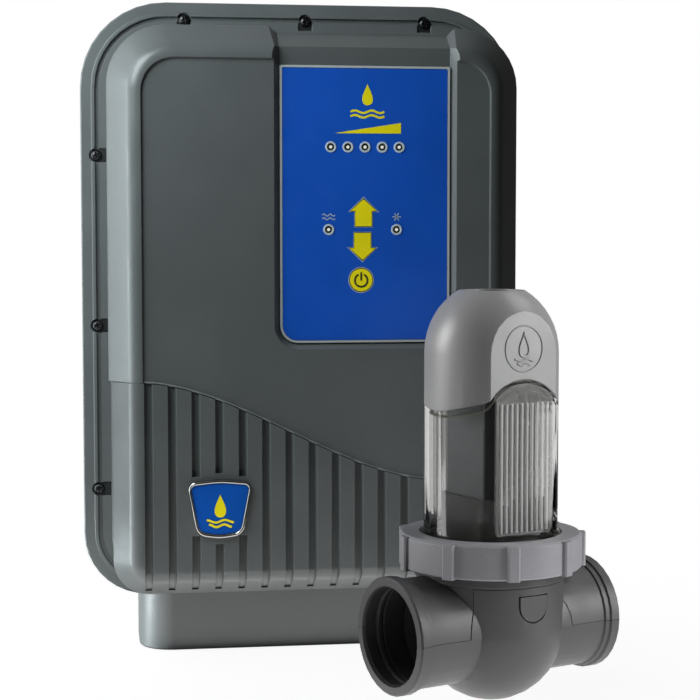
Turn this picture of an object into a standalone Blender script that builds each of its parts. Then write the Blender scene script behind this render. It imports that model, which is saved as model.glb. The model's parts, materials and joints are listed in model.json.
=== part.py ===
"""Salt chlorine generator: a wall power pack on its foot, and the electrolytic cell beside it.

All lengths below are millimetres, and MM turns them into Blender's metres. +X is to the right of
the power pack, +Y is towards the wall and +Z is up. The origin is under the middle web of the foot.
"Depth" is a distance in front of the case flange's front face, towards -Y.
The cell is built in its own frame, with the pipe along X and the vessel along Z, and an empty
carries that frame to its place.
"""

import math

import bmesh
import bpy
from mathutils import Matrix, Vector

MM = 0.001
GAP = 0.3

# Case of the power pack
FLANGE_Y = 31.0
FLANGE_HALF = 165.0
FLANGE_LOW = 29.5
FLANGE_TOP = 476.0
FLANGE_LOW_RADIUS = 48.0
FLANGE_TOP_RADIUS = 64.0
FLANGE_THICK = 4.0
RIDGE_HEIGHT = 1.6
CHANNEL_DEPTH = 1.5
WALL_HALF = 144.0
WALL_LOW = 48.0
WALL_TOP = 447.5
WALL_THICK = 3.0
DECK_DEPTH = 88.2
GASKET_BACK = 5.3
REAR_FRONT = 5.6
REAR_RIM_BACK = 12.0
REAR_BACK = 22.0

# Outer covers
COVER_DEPTH = 88.5
COVER_HALF = 146.7
COVER_LOW = 45.0
COVER_TOP = 450.0
COVER_LOW_RADIUS = 27.0
COVER_TOP_RADIUS = 42.0
RIM_DEPTH = 110.0
FACE_DEPTH = 108.0
COVER_INSIDE = 105.2
RIB_INSIDE = 103.0
DRAFT_SLOPE = 0.721
EDGE_RADIUS = 11.0
EDGE_INSET = 22.2
EDGE_TURN = math.radians(54.2)
BAND_FLOOR = 102.5
BAND_DROP = (RIM_DEPTH - BAND_FLOOR) * DRAFT_SLOPE
BAND_TRAY_BACK = 99.7
BAND_SIDE_SLOPE = 0.727
BAND_MARGIN = 0.4
BAND_TRAY_MARGIN = 8.0
BAND_TRAY_WALL = 3.4
WAVE_HIGH = 200.3
WAVE_LOW = 128.0
WAVE_START = -130.0
WAVE_END = 90.0
GROOVE_FIRST = -122.6
GROOVE_PITCH = 16.48
GROOVE_WIDTH = 6.3
GROOVE_COUNT = 15
GROOVE_FLOOR = 106.0
GROOVE_RUN_OUT = ((66.0, 0.0), (61.5, 1.4), (57.2, 5.0), (51.0, 13.6))

# Keypad
PANEL_LEFT = -26.5
PANEL_RIGHT = 94.5
PANEL_LOW = 227.0
PANEL_TOP = 421.5
PANEL_RADIUS = 12.5
BEZEL_WIDTH = 1.5
PANEL_BACK = 102.8
PANEL_FRONT = 104.4
KEY_BACK = 100.1
KEY_FRONT = 104.9
KEY_X = 32.0
ARROW_SHAFT = 5.8
ARROW_HEAD = 9.2
ARROW_LENGTH = 19.0
ARROW_NECK = 10.8
LEVEL_LAMP_X = 9.4
LEVEL_LAMP_PITCH = 12.2
LEVEL_LAMP_Z = 364.8
STATE_LAMP_Z = 306.8

# Badge on the lower cover, and where each groove stops below and above it
BADGE_X = -70.0
BADGE_LOW = 89.6
BADGE_TOP = 131.6
BADGE_BACK = 110.3
BADGE_BREAKS = {2: (92.0, 133.5), 3: (86.0, 136.0), 4: (92.0, 133.5)}

# Screws of the case
SCREW_SIDE_X = 153.5
SCREW_SIDE_Z = (111.0, 234.5, 362.0)
SCREW_TOP_Z = 463.2
SCREW_TOP_FIRST = -87.4
SCREW_TOP_PITCH = 91.3
SCREW_HEAD_RADIUS = 4.0
SCREW_HOLE_RADIUS = 2.3
POCKET_FLOOR = -1.3
POCKET_HALF = 5.4

# Foot
FOOT_HALF = 125.0
FOOT_FRONT = 62.0
FOOT_TOP = WALL_LOW - GAP
FOOT_RADIUS = 25.0
FOOT_WALL = 3.0
FOOT_WEB_HALF = 7.0
GLAND_X = 70.0

# Cell
CELL_X = 99.0
CELL_Y = -191.0
CELL_TURN = 0.41
PIPE_Z = 49.5
PORT_HALF = 79.0
PORT_BORE = 31.7
TUBE_RADIUS = 35.5
PORT_FLANGE_RADIUS = 38.0
PORT_FLANGE_THICK = 7.0
BOWL_RADIUS = 48.0
BOWL_Z = 47.6
BOWL_INSIDE = 44.5
NECK_RADIUS = 47.8
NECK_BORE = 41.0
CHEEK_INSIDE = 44.3
CHEEK_TOP = 80.5
CHEEK_SPREAD = math.radians(48.7)
COLLAR_RADIUS = 49.6
THREAD_RADIUS = 52.5
SEAT_Z = 102.0
RING_LOW = 88.4
RING_TOP = 110.7
RING_RADIUS = 59.6
RING_LUG_RADIUS = 62.0
RING_LUGS = 9
RING_LUG_START = math.radians(-22.0)
VESSEL_RADIUS = 43.7
VESSEL_FLAT = 35.0
FLAT_HALF = math.sqrt(VESSEL_RADIUS**2 - VESSEL_FLAT**2)
VESSEL_WALL = 3.0
VESSEL_FLANGE_RADIUS = 51.8
SPIGOT_RADIUS = 40.7
SPIGOT_LOW = 84.0
JOINT_SIDE_Z = 191.0
JOINT_SIDE_RISE = 7.8
JOINT_ARCH_TOP = 212.0
JOINT_ARCH_RADIUS = 33.4
DOME_Z = 228.0
DOME_HEIGHT = 45.9
CAP_TOP = 268.0
SOCKET_RADIUS = 17.0
SOCKET_FLOOR = 257.0
ROUND_STEPS = 36
PLATE_COUNT = 5
PLATE_PITCH = 10.0
PLATE_THICK = 1.2
PLATE_HALF = 20.0
PLATE_LOW = 100.0
PLATE_TOP = 240.0
CARRIER_LOW = 232.0
CARRIER_TOP = 244.0
BAFFLE_HALF = 24.0
BAFFLE_LOW = 70.0
BAFFLE_TOP = 134.5

# Name: colour, roughness, metallic
FINISHES = {
    "case_grey": ((0.082, 0.090, 0.091), 0.45, 0.0),
    "cover_grey": ((0.105, 0.115, 0.117), 0.42, 0.0),
    "foot_grey": ((0.090, 0.098, 0.099), 0.45, 0.0),
    "rubber_black": ((0.02, 0.02, 0.02), 0.7, 0.0),
    "panel_blue": ((0.01, 0.06, 0.33), 0.35, 0.0),
    "bezel_silver": ((0.50, 0.51, 0.52), 0.35, 0.9),
    "key_yellow": ((0.72, 0.62, 0.02), 0.4, 0.0),
    "lamp_clear": ((0.75, 0.72, 0.60), 0.2, 0.0),
    "screw_black": ((0.015, 0.015, 0.015), 0.3, 0.5),
    "board_green": ((0.02, 0.18, 0.08), 0.5, 0.0),
    "copper": ((0.70, 0.33, 0.16), 0.4, 0.8),
    "sink_metal": ((0.60, 0.60, 0.62), 0.4, 1.0),
    "housing_grey": ((0.075, 0.075, 0.076), 0.5, 0.0),
    "ring_grey": ((0.36, 0.36, 0.38), 0.42, 0.0),
    "cap_grey": ((0.28, 0.28, 0.29), 0.4, 0.0),
    "vessel_clear": ((0.85, 0.87, 0.86), 0.08, 0.0),
    "titanium": ((0.16, 0.17, 0.17), 0.45, 1.0),
}


def clear_scene():
    """Removes what the startup scene holds."""
    for obj in list(bpy.data.objects):
        bpy.data.objects.remove(obj)


def finish(name):
    """The material of that name, made once."""
    if name in bpy.data.materials:
        return bpy.data.materials[name]
    colour, roughness, metallic = FINISHES[name]
    material = bpy.data.materials.new(name)
    material.use_nodes = True
    shader = material.node_tree.nodes["Principled BSDF"]
    shader.inputs["Base Color"].default_value = (*colour, 1.0)
    shader.inputs["Roughness"].default_value = roughness
    shader.inputs["Metallic"].default_value = metallic
    return material


def add_object(name, bm, finish_name=None, parent=None):
    """An object made from a bmesh in millimetres. With no finish it is a helper that isn't rendered."""
    bmesh.ops.recalc_face_normals(bm, faces=bm.faces)
    bm.transform(Matrix.Scale(MM, 4))
    mesh = bpy.data.meshes.new(name)
    bm.to_mesh(mesh)
    bm.free()
    mesh.shade_smooth()
    mesh.set_sharp_from_angle(angle=math.radians(32))
    obj = bpy.data.objects.new(name, mesh)
    bpy.context.scene.collection.objects.link(obj)
    obj.parent = parent
    if finish_name:
        mesh.materials.append(finish(finish_name))
    else:
        obj.hide_render = True
        obj.display_type = "WIRE"
    return obj


def combine(target, other, operation="DIFFERENCE"):
    """Adds a Boolean of target with a helper."""
    modifier = target.modifiers.new(other.name, "BOOLEAN")
    modifier.operation = operation
    modifier.solver = "EXACT"
    modifier.object = other
    return target


def add_loft(bm, rings, closed=False):
    """Joins rings of equally many points into one skin, capped at both ends or closed round."""
    rows = [[bm.verts.new(point) for point in ring] for ring in rings]
    count = len(rows[0])
    pairs = list(zip(rows, rows[1:]))
    if closed:
        pairs.append((rows[-1], rows[0]))
    else:
        bm.faces.new(rows[0])
        bm.faces.new(rows[-1])
    for low, high in pairs:
        for i in range(count):
            j = (i + 1) % count
            bm.faces.new((low[i], low[j], high[j], high[i]))
    return bm


def loft(name, rings, finish_name=None, closed=False, parent=None):
    return add_object(name, add_loft(bmesh.new(), rings, closed), finish_name, parent)


def add_box(bm, low, high):
    """A plain box between two corners."""
    (x0, y0, z0), (x1, y1, z1) = low, high
    corners = ((x0, y0), (x1, y0), (x1, y1), (x0, y1))
    return add_loft(bm, [[(x, y, z) for x, y in corners] for z in (z0, z1)])


def box(name, low, high, finish_name=None, parent=None):
    return add_object(name, add_box(bmesh.new(), low, high), finish_name, parent)


def boxes(name, corner_pairs, parent=None):
    """A helper that holds several separate boxes."""
    bm = bmesh.new()
    for low, high in corner_pairs:
        add_box(bm, low, high)
    return add_object(name, bm, None, parent)


def turned_points(profile, axis):
    """Turns (radius, along) pairs into points beside the axis: Z, X, or Y pointing to -Y."""
    if axis == "Z":
        return [Vector((r, 0, a)) for r, a in profile]
    if axis == "X":
        return [Vector((a, 0, r)) for r, a in profile]
    return [Vector((r, -a, 0)) for r, a in profile]


def add_turned(bm, profile, axis="Z", centre=(0, 0, 0), segments=32, ends_on_axis=False):
    """Spins a profile of (radius, along) points about an axis through centre."""
    points = turned_points(profile, axis)
    direction = {"Z": (0, 0, 1), "X": (1, 0, 0), "Y": (0, 1, 0)}[axis]
    centre = Vector(centre)
    poles = {}
    if ends_on_axis:
        poles = {0: bm.verts.new(centre + points[0]), len(points) - 1: bm.verts.new(centre + points[-1])}
    rows = []
    for i in range(segments):
        turn = Matrix.Rotation(2 * math.pi * i / segments, 3, direction)
        rows.append([poles.get(k) or bm.verts.new(centre + turn @ p) for k, p in enumerate(points)])
    steps = len(points) - 1 if ends_on_axis else len(points)
    for i in range(segments):
        row, following = rows[i], rows[(i + 1) % segments]
        for k in range(steps):
            m = (k + 1) % len(points)
            corners = []
            for vert in (row[k], row[m], following[m], following[k]):
                if vert not in corners:
                    corners.append(vert)
            bm.faces.new(corners)
    return bm


def turned(name, profile, finish_name=None, parent=None, **kwargs):
    return add_object(name, add_turned(bmesh.new(), profile, **kwargs), finish_name, parent)


def arc(centre_x, centre_z, radius, start, end, steps):
    """Points on a circle between two angles in degrees."""
    turns = [math.radians(start + (end - start) * i / steps) for i in range(steps + 1)]
    return [(centre_x + radius * math.cos(t), centre_z + radius * math.sin(t)) for t in turns]


def rounded_box(x0, x1, z0, z1, low_radius, high_radius, steps=9):
    """Outline of a box whose two lower and two upper corners are rounded."""
    low, high = max(low_radius, 0.2), max(high_radius, 0.2)
    return [
        *arc(x1 - low, z0 + low, low, -90, 0, steps),
        *arc(x1 - high, z1 - high, high, 0, 90, steps),
        *arc(x0 + high, z1 - high, high, 90, 180, steps),
        *arc(x0 + low, z0 + low, low, 180, 270, steps),
    ]


def rounded_corners(corners, radii, steps=5):
    """Outline through corner points, each corner replaced by an arc of its radius."""
    points = []
    for i, corner in enumerate(corners):
        here = Vector(corner)
        before = (Vector(corners[i - 1]) - here).normalized()
        after = (Vector(corners[(i + 1) % len(corners)]) - here).normalized()
        half = before.angle(after) / 2
        centre = here + (before + after).normalized() * radii[i] / math.sin(half)
        first = here + before * radii[i] / math.tan(half) - centre
        last = here + after * radii[i] / math.tan(half) - centre
        for k in range(steps + 1):
            spoke = first.slerp(last, k / steps)
            points.append(tuple(centre + spoke.normalized() * radii[i]))
    return points


def upright(outline, depth):
    """An (x, z) outline at a depth in front of the flange."""
    return [(x, FLANGE_Y - depth, z) for x, z in outline]


def level(outline, z):
    """An (x, y) outline at a height."""
    return [(x, y, z) for x, y in outline]


def slab(name, outline, back, front, finish_name=None, parent=None):
    """An (x, z) outline made thick between two depths."""
    return loft(name, [upright(outline, back), upright(outline, front)], finish_name, parent=parent)


def moved(outline, dx, dz):
    return [(x + dx, z + dz) for x, z in outline]


def grown(outline, amount):
    """A closed outline, listed anticlockwise, pushed outwards with mitred corners."""
    points = []
    for i, corner in enumerate(outline):
        before = (Vector(corner) - Vector(outline[i - 1])).normalized()
        after = (Vector(outline[(i + 1) % len(outline)]) - Vector(corner)).normalized()
        outward = Vector((before.y + after.y, -before.x - after.x)) / (1 + before.dot(after))
        points.append(tuple(Vector(corner) + outward * amount))
    return points


# Power pack: case


def flange_outline(inset):
    return rounded_box(
        -FLANGE_HALF + inset,
        FLANGE_HALF - inset,
        FLANGE_LOW + inset,
        FLANGE_TOP - inset,
        FLANGE_LOW_RADIUS - inset,
        FLANGE_TOP_RADIUS - inset,
    )


def wall_outline(inset):
    return rounded_box(
        -WALL_HALF + inset,
        WALL_HALF - inset,
        WALL_LOW + inset,
        WALL_TOP - inset,
        COVER_LOW_RADIUS - 2 - inset,
        COVER_TOP_RADIUS - 2 - inset,
    )


def screw_places():
    """Name, x and z of each case screw, and the direction its pocket opens in."""
    places = []
    for side, sign in (("left", -1), ("right", 1)):
        for row, z in zip(("low", "middle", "high"), SCREW_SIDE_Z):
            places.append((f"case_screw_{side}_{row}", sign * SCREW_SIDE_X, z, (-sign, 0)))
    for i, place in enumerate(("left", "middle", "right")):
        x = SCREW_TOP_FIRST + i * SCREW_TOP_PITCH
        places.append((f"case_screw_top_{place}", x, SCREW_TOP_Z, (0, -1)))
    return places


def screw_hole_helper():
    bm = bmesh.new()
    for _, x, z, _ in screw_places():
        profile = [(0, -REAR_RIM_BACK - 1), (SCREW_HOLE_RADIUS, -REAR_RIM_BACK - 1)]
        profile += [(SCREW_HOLE_RADIUS, 3), (0, 3)]
        add_turned(bm, profile, "Y", (x, FLANGE_Y, z), 8, ends_on_axis=True)
    return add_object("screw_holes", bm)


def screw_pocket_helper():
    """Pockets with a round outer end, open towards the case wall."""
    bm = bmesh.new()
    reach = {"side": SCREW_SIDE_X - WALL_HALF - 0.5, "top": SCREW_TOP_Z - WALL_TOP - 0.5}
    for _, x, z, (toward_x, toward_z) in screw_places():
        run = reach["side"] if toward_x else reach["top"]
        turn = math.degrees(math.atan2(toward_z, toward_x))
        outline = arc(x, z, POCKET_HALF, turn + 90, turn + 270, 8)
        ends = [
            (outline[-1][0] + toward_x * run, outline[-1][1] + toward_z * run),
            (outline[0][0] + toward_x * run, outline[0][1] + toward_z * run),
        ]
        add_loft(bm, [upright(outline + ends, d) for d in (POCKET_FLOOR, RIDGE_HEIGHT + 2)])
    return add_object("screw_pockets", bm)


def make_front_housing(holes, pockets):
    """Deep front half: flange with ridge and channel, walls, and the front deck."""
    rings = [
        upright(wall_outline(WALL_THICK + 0.6), DECK_DEPTH - WALL_THICK),
        upright(wall_outline(WALL_THICK), -FLANGE_THICK),
        upright(flange_outline(0), -FLANGE_THICK),
        upright(flange_outline(0), -0.8),
        upright(flange_outline(0.8), 0),
        upright(flange_outline(7.9), 0),
        upright(flange_outline(8.4), RIDGE_HEIGHT),
        upright(flange_outline(10.5), RIDGE_HEIGHT),
        upright(flange_outline(10.9), -CHANNEL_DEPTH),
        upright(flange_outline(13.6), -CHANNEL_DEPTH),
        upright(flange_outline(13.9), 0),
        upright(wall_outline(0), 0),
        upright(wall_outline(0.6), DECK_DEPTH),
    ]
    housing = loft("front_housing", rings, "case_grey")
    combine(housing, holes)
    combine(housing, pockets)
    windows = [
        ((-20, FLANGE_Y - DECK_DEPTH - 1, 238), (86, FLANGE_Y - DECK_DEPTH + 5, 405)),
        ((-104, FLANGE_Y - DECK_DEPTH - 1, 56), (104, FLANGE_Y - DECK_DEPTH + 5, 66)),
    ]
    combine(housing, boxes("deck_windows", windows))
    combine(housing, gland_hole_helper())
    return housing


def make_gasket(holes):
    """Flat seal between the two halves of the case."""
    rings = [
        upright(flange_outline(inset), -depth)
        for inset, depth in (
            (7, GASKET_BACK),
            (16, GASKET_BACK),
            (16, FLANGE_THICK + GAP),
            (7, FLANGE_THICK + GAP),
        )
    ]
    return combine(loft("case_gasket", rings, "rubber_black", closed=True), holes)


def make_rear_shell(holes):
    """Shallow rear half with its rim, back wall, board posts and wall-hanging slots."""
    rings = [
        upright(flange_outline(18), -(REAR_BACK - WALL_THICK)),
        upright(flange_outline(18), -REAR_FRONT),
        upright(flange_outline(1.5), -REAR_FRONT),
        upright(flange_outline(1.5), -REAR_RIM_BACK),
        upright(flange_outline(13), -REAR_RIM_BACK - 0.5),
        upright(flange_outline(15), -REAR_BACK),
    ]
    shell = combine(loft("rear_shell", rings, "case_grey"), holes)
    posts = bmesh.new()
    for x in (-118, 4):
        for z in (160, 416):
            profile = [(0, -(REAR_BACK - 1)), (4, -(REAR_BACK - 1)), (4, 14.7), (0, 14.7)]
            add_turned(posts, profile, "Y", (x, FLANGE_Y, z), 12, ends_on_axis=True)
    combine(shell, add_object("board_posts", posts), "UNION")
    slots = bmesh.new()
    for x in (-90, 90):
        for z in (95, 425):
            outline = [*arc(x, z, 5.5, 30, -210, 10), *arc(x, z + 11, 2.8, 180, 0, 4)]
            add_loft(slots, [upright(outline, d) for d in (-REAR_BACK - 1, -REAR_BACK + WALL_THICK + 1)])
    return combine(shell, add_object("hanging_slots", slots))


def make_case_screws():
    """Round-headed screws that hold the two halves of the case."""
    for name, x, z, _ in screw_places():
        top = POCKET_FLOOR + GAP
        profile = [
            (0, -REAR_RIM_BACK + 1),
            (1.9, -REAR_RIM_BACK + 2),
            (1.9, top),
            (SCREW_HEAD_RADIUS, top),
            (SCREW_HEAD_RADIUS, top + 1.6),
            (SCREW_HEAD_RADIUS - 1.2, top + 2.8),
            (0, top + 3.1),
        ]
        screw = turned(name, profile, "screw_black", axis="Y", segments=16, ends_on_axis=True)
        screw.location = Vector((x, FLANGE_Y, z)) * MM


# Power pack: outer covers


def cover_outline(inset):
    return rounded_box(
        -COVER_HALF + inset,
        COVER_HALF - inset,
        COVER_LOW + inset,
        COVER_TOP - inset * 1.04,
        COVER_LOW_RADIUS - inset * 0.8,
        COVER_TOP_RADIUS - inset * 0.8,
    )


def cover_rings(profile):
    return [upright(cover_outline(inset), depth) for inset, depth in profile]


def edge_arc(steps=4):
    """(inset, depth) points of the rounding between the draft and the rim."""
    points = []
    for i in range(steps + 1):
        turn = EDGE_TURN * (1 - i / steps)
        inset = EDGE_INSET - EDGE_RADIUS * math.sin(turn)
        points.append((inset, RIM_DEPTH - EDGE_RADIUS * (1 - math.cos(turn))))
    return points


def wave_height(x):
    """Height of the line where the ribbed lower cover meets the upper one."""
    share = min(max((x - WAVE_START) / (WAVE_END - WAVE_START), 0), 1)
    return WAVE_HIGH - (WAVE_HIGH - WAVE_LOW) * share * share * (3 - 2 * share)


def wave_helper(name, shift, far_z):
    """Everything on one side of the wave line, across the covers."""
    steps = 22
    span = 170.0
    line = []
    for i in range(steps + 1):
        x = -span + 2 * span * i / steps
        line.append((x, wave_height(x) + shift))
    outline = line + [(span, far_z), (-span, far_z)]
    return slab(name, outline, COVER_DEPTH - 5, RIM_DEPTH + 5)


def band_helpers():
    """Tray of the central band that carries the keypad, and the cutters that sink it."""

    def margin(depth):
        return BAND_MARGIN + BAND_SIDE_SLOPE * (depth - BAND_FLOOR)

    def outline(depth):
        out = margin(depth)
        low, top = PANEL_LOW - out, COVER_TOP + 30 + out
        return rounded_box(PANEL_LEFT - out, PANEL_RIGHT + out, low, top, PANEL_RADIUS + out, 1)

    def draft(depth, drop):
        return (depth, COVER_TOP - (depth - COVER_DEPTH) * DRAFT_SLOPE - drop)

    def over_top(x, drop):
        back, front = COVER_DEPTH - 4, RIM_DEPTH + 1
        above = COVER_TOP + 12
        around = [draft(back, drop), draft(front, drop), (front + 3, above), (back, above)]
        return [(x, FLANGE_Y - d, z) for d, z in around]

    front = RIM_DEPTH + 0.3
    rings = [upright(outline(BAND_FLOOR), BAND_FLOOR), upright(outline(front), front)]
    pocket = loft("band_pocket", rings + [upright(outline(front), front + 6)])
    above = 0.6
    wide = margin(RIM_DEPTH + above / DRAFT_SLOPE)
    sides = [
        over_top(PANEL_LEFT - wide, -above),
        over_top(PANEL_LEFT - BAND_MARGIN, BAND_DROP),
        over_top(PANEL_RIGHT + BAND_MARGIN, BAND_DROP),
        over_top(PANEL_RIGHT + wide, -above),
    ]
    top = loft("band_top", sides)
    skin, low = 2.5, PANEL_LOW - BAND_TRAY_MARGIN
    tray_front = COVER_INSIDE + 0.3
    section = [
        (tray_front, low),
        draft(tray_front, skin),
        draft(COVER_DEPTH, skin),
        draft(COVER_DEPTH, BAND_DROP + BAND_TRAY_WALL),
        draft(BAND_TRAY_BACK, BAND_DROP + BAND_TRAY_WALL),
        (BAND_TRAY_BACK, low),
    ]
    ends = (PANEL_LEFT - BAND_TRAY_MARGIN, PANEL_RIGHT + BAND_TRAY_MARGIN)
    tray = loft("band_tray", [[(x, FLANGE_Y - d, z) for d, z in section] for x in ends])
    return tray, pocket, top


def make_upper_cover():
    """Drafted outer cover with a raised rim, a recessed face and the keypad band."""
    profile = (
        (16.5, COVER_INSIDE),
        (3.0, COVER_DEPTH),
        (0, COVER_DEPTH),
        (0.8, COVER_DEPTH + 1.4),
        *edge_arc(),
        (23.4, RIM_DEPTH),
        (24.0, FACE_DEPTH),
    )
    cover = loft("upper_cover", cover_rings(profile), "cover_grey")
    tray, pocket, top = band_helpers()
    combine(cover, tray, "UNION")
    combine(cover, pocket)
    combine(cover, top)
    low, high = FLANGE_Y - FACE_DEPTH - 1, FLANGE_Y - BAND_TRAY_BACK + 1
    combine(cover, box("key_window", (-16, low, 250), (80, high, 390)))
    return combine(cover, wave_helper("below_wave", GAP / 2, 0))


def groove_helper():
    """Vertical grooves between the ribs, stopped above and below the badge and at the lower edge."""
    bm = bmesh.new()
    for i in range(GROOVE_COUNT):
        x = GROOVE_FIRST + i * GROOVE_PITCH
        high_floor = [(WAVE_HIGH + 5, GROOVE_FLOOR)]
        low_floor = [(z, GROOVE_FLOOR - drop) for z, drop in GROOVE_RUN_OUT]
        lines = [high_floor + low_floor]
        if i in BADGE_BREAKS:
            low, high = BADGE_BREAKS[i]
            lines = [high_floor + [(high, GROOVE_FLOOR)], [(low, GROOVE_FLOOR)] + low_floor]
        for line in lines:
            rings = []
            for z, floor in line:
                section = (
                    (x, RIM_DEPTH + 1),
                    (x + 0.6, floor),
                    (x + GROOVE_WIDTH - 1.3, floor),
                    (x + GROOVE_WIDTH, RIM_DEPTH + 1),
                )
                rings.append([(a, FLANGE_Y - d, z) for a, d in section])
            add_loft(bm, rings)
    return add_object("rib_grooves", bm)


def make_lower_cover():
    """Ribbed cover of the wiring bay, whose top follows the wave line."""
    profile = (
        (15.5, RIB_INSIDE),
        (5.4, COVER_DEPTH),
        (2.4, COVER_DEPTH),
        (3.0, COVER_DEPTH + 1.4),
        *edge_arc(),
    )
    cover = loft("lower_cover", cover_rings(profile), "cover_grey")
    combine(cover, wave_helper("above_wave", -GAP / 2, 500))
    return combine(cover, groove_helper())


def badge_outline(inset):
    """Shield outline: wide at the top, narrower at the bottom, with both edges slightly arched."""
    top, low = BADGE_TOP - inset, BADGE_LOW + inset
    top_half, low_half = 23.4 - inset, 16.4 - inset * 0.75
    left = [(-top_half, top - 1.6), (-low_half, low + 2.4)]
    right = [(low_half, low + 2.4), (top_half, top - 1.6)]
    corners = [*right, (0, top + 0.4), *left, (0, low - 0.2)]
    outline = rounded_corners(corners, [9 - inset, 6 - inset, 60, 6 - inset, 9 - inset, 40])
    return moved(outline, BADGE_X, 0)


def make_badge():
    """Bright rim and the enamel face inside it."""
    outer, inner = badge_outline(0), badge_outline(2.2)
    back, front = BADGE_BACK, BADGE_BACK + 2.8
    rings = [upright(outer, back), upright(outer, front - 0.8), upright(badge_outline(0.9), front)]
    rings += [upright(inner, front - 0.6), upright(inner, back)]
    loft("badge_rim", rings, "bezel_silver", closed=True)
    slab("badge_face", badge_outline(2.5), back, front - 1.1, "panel_blue")


def make_foot():
    """Hollow foot that hides the cable entries, split into two bays by the middle web."""
    half, radius = FOOT_HALF, FOOT_RADIUS
    front, back = FLANGE_Y - FOOT_FRONT, FLANGE_Y - RIDGE_HEIGHT - GAP
    outline = rounded_box(-half, half, front, back, radius, 2)
    inset = rounded_box(-half + 1, half - 1, front + 1, back - 1, radius - 1, 1)
    rings = [level(inset, 0), level(outline, 1), level(outline, FOOT_TOP)]
    foot = loft("foot_shroud", rings, "foot_grey")
    bays = bmesh.new()
    for sign in (-1, 1):
        inner, outer = FOOT_WEB_HALF * sign, (half - FOOT_WALL) * sign
        near, far = front + FOOT_WALL, back - FOOT_WALL
        outline = rounded_corners(
            [(inner, near), (outer, near), (outer, far), (inner, far)],
            [2, radius - FOOT_WALL, 2, 2],
            6,
        )
        add_loft(bays, [level(outline, z) for z in (-1, FOOT_TOP - FOOT_WALL)])
    combine(foot, add_object("foot_bays", bays))
    return combine(foot, bpy.data.objects["gland_holes"])


def gland_hole_helper():
    bm = bmesh.new()
    for sign in (-1, 1):
        profile = [(0, WALL_LOW - 6), (8.3, WALL_LOW - 6), (8.3, WALL_LOW + 6), (0, WALL_LOW + 6)]
        add_turned(bm, profile, "Z", (sign * GLAND_X, 0, 0), 24, ends_on_axis=True)
    return add_object("gland_holes", bm)


def make_glands():
    """Cable glands of the mains lead and the cell lead, with no cable in them."""
    under, over = FOOT_TOP - FOOT_WALL - GAP, WALL_LOW + WALL_THICK + 3 * GAP
    profile = [
        (4, 26),
        (9, 26),
        (11, 29),
        (11, under - 8),
        (12.5, under - 7),
        (12.5, under),
        (8, under),
        (8, over),
        (11.5, over),
        (11.5, over + 5),
        (8, over + 5),
        (8, over + 8),
        (4, over + 8),
    ]
    for name, sign in (("cable_gland_mains", -1), ("cable_gland_cell", 1)):
        gland = turned(name, profile, "rubber_black", segments=20)
        gland.location.x = sign * GLAND_X * MM


# Power pack: keypad


def panel_outline(inset):
    return rounded_box(
        PANEL_LEFT + inset,
        PANEL_RIGHT - inset,
        PANEL_LOW + inset,
        PANEL_TOP - inset,
        PANEL_RADIUS - inset,
        1.2,
    )


def arrow_outline(points_up):
    """Arrow key: a shaft with a wider head, tip upwards or downwards."""
    right = [(ARROW_SHAFT, 0), (ARROW_SHAFT, ARROW_NECK), (ARROW_HEAD, ARROW_NECK)]
    outline = [*right, (0, ARROW_LENGTH), *((-x, z) for x, z in reversed(right))]
    return outline if points_up else [(x, -z) for x, z in reversed(outline)]


def key_shapes():
    """Name and outline of each key, in place on the panel."""
    return [
        ("key_up", moved(arrow_outline(True), KEY_X + 0.7, 309.2)),
        ("key_down", moved(arrow_outline(False), KEY_X, 304.4)),
        ("key_power", arc(KEY_X - 1, 271.2, 8.0, 0, 345, 23)),
    ]


def lamp_places():
    places = [
        (f"lamp_level_{i + 1}", LEVEL_LAMP_X + i * LEVEL_LAMP_PITCH, LEVEL_LAMP_Z) for i in range(5)
    ]
    return places + [("lamp_flow", 7.9, STATE_LAMP_Z), ("lamp_salt", 56.4, STATE_LAMP_Z)]


def make_keypad():
    """Bezel, panel, keys and lamps."""
    rings = []
    for inset, depth in (
        (0, PANEL_BACK),
        (0, PANEL_FRONT + 0.3),
        (BEZEL_WIDTH, PANEL_FRONT + 0.3),
        (BEZEL_WIDTH, PANEL_BACK),
    ):
        rings.append(upright(panel_outline(inset), depth))
    loft("keypad_bezel", rings, "bezel_silver", closed=True)
    panel = slab("keypad_panel", panel_outline(BEZEL_WIDTH + GAP), PANEL_BACK, PANEL_FRONT, "panel_blue")
    openings = bmesh.new()
    for name, outline in key_shapes():
        slab(name, outline, KEY_BACK, KEY_FRONT, "key_yellow")
        around = grown(outline, 0.5)
        add_loft(openings, [upright(around, d) for d in (PANEL_BACK - 1, PANEL_FRONT + 1)])
    for name, x, z in lamp_places():
        hole = [(0, PANEL_BACK - 1), (2.9, PANEL_BACK - 1), (2.9, PANEL_FRONT + 1), (0, PANEL_FRONT + 1)]
        add_turned(openings, hole, "Y", (x, FLANGE_Y, z), 16, ends_on_axis=True)
        profile = [
            (0, KEY_BACK),
            (2.5, KEY_BACK),
            (2.5, PANEL_FRONT + GAP),
            (3.5, PANEL_FRONT + GAP),
            (3.5, PANEL_FRONT + 0.9),
            (2.2, PANEL_FRONT + 1.1),
            (0, PANEL_FRONT + 1.4),
        ]
        lamp = turned(name, profile, "lamp_clear", axis="Y", segments=16, ends_on_axis=True)
        lamp.location = Vector((x, FLANGE_Y, z)) * MM
    combine(panel, add_object("panel_openings", openings))


# Power pack: inside


def board_with_parts(name, plate, parts):
    """A circuit board with its larger components fixed on it."""
    board = box(name, *plate, "board_green")
    return combine(board, boxes(name + "_parts", parts), "UNION")


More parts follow.
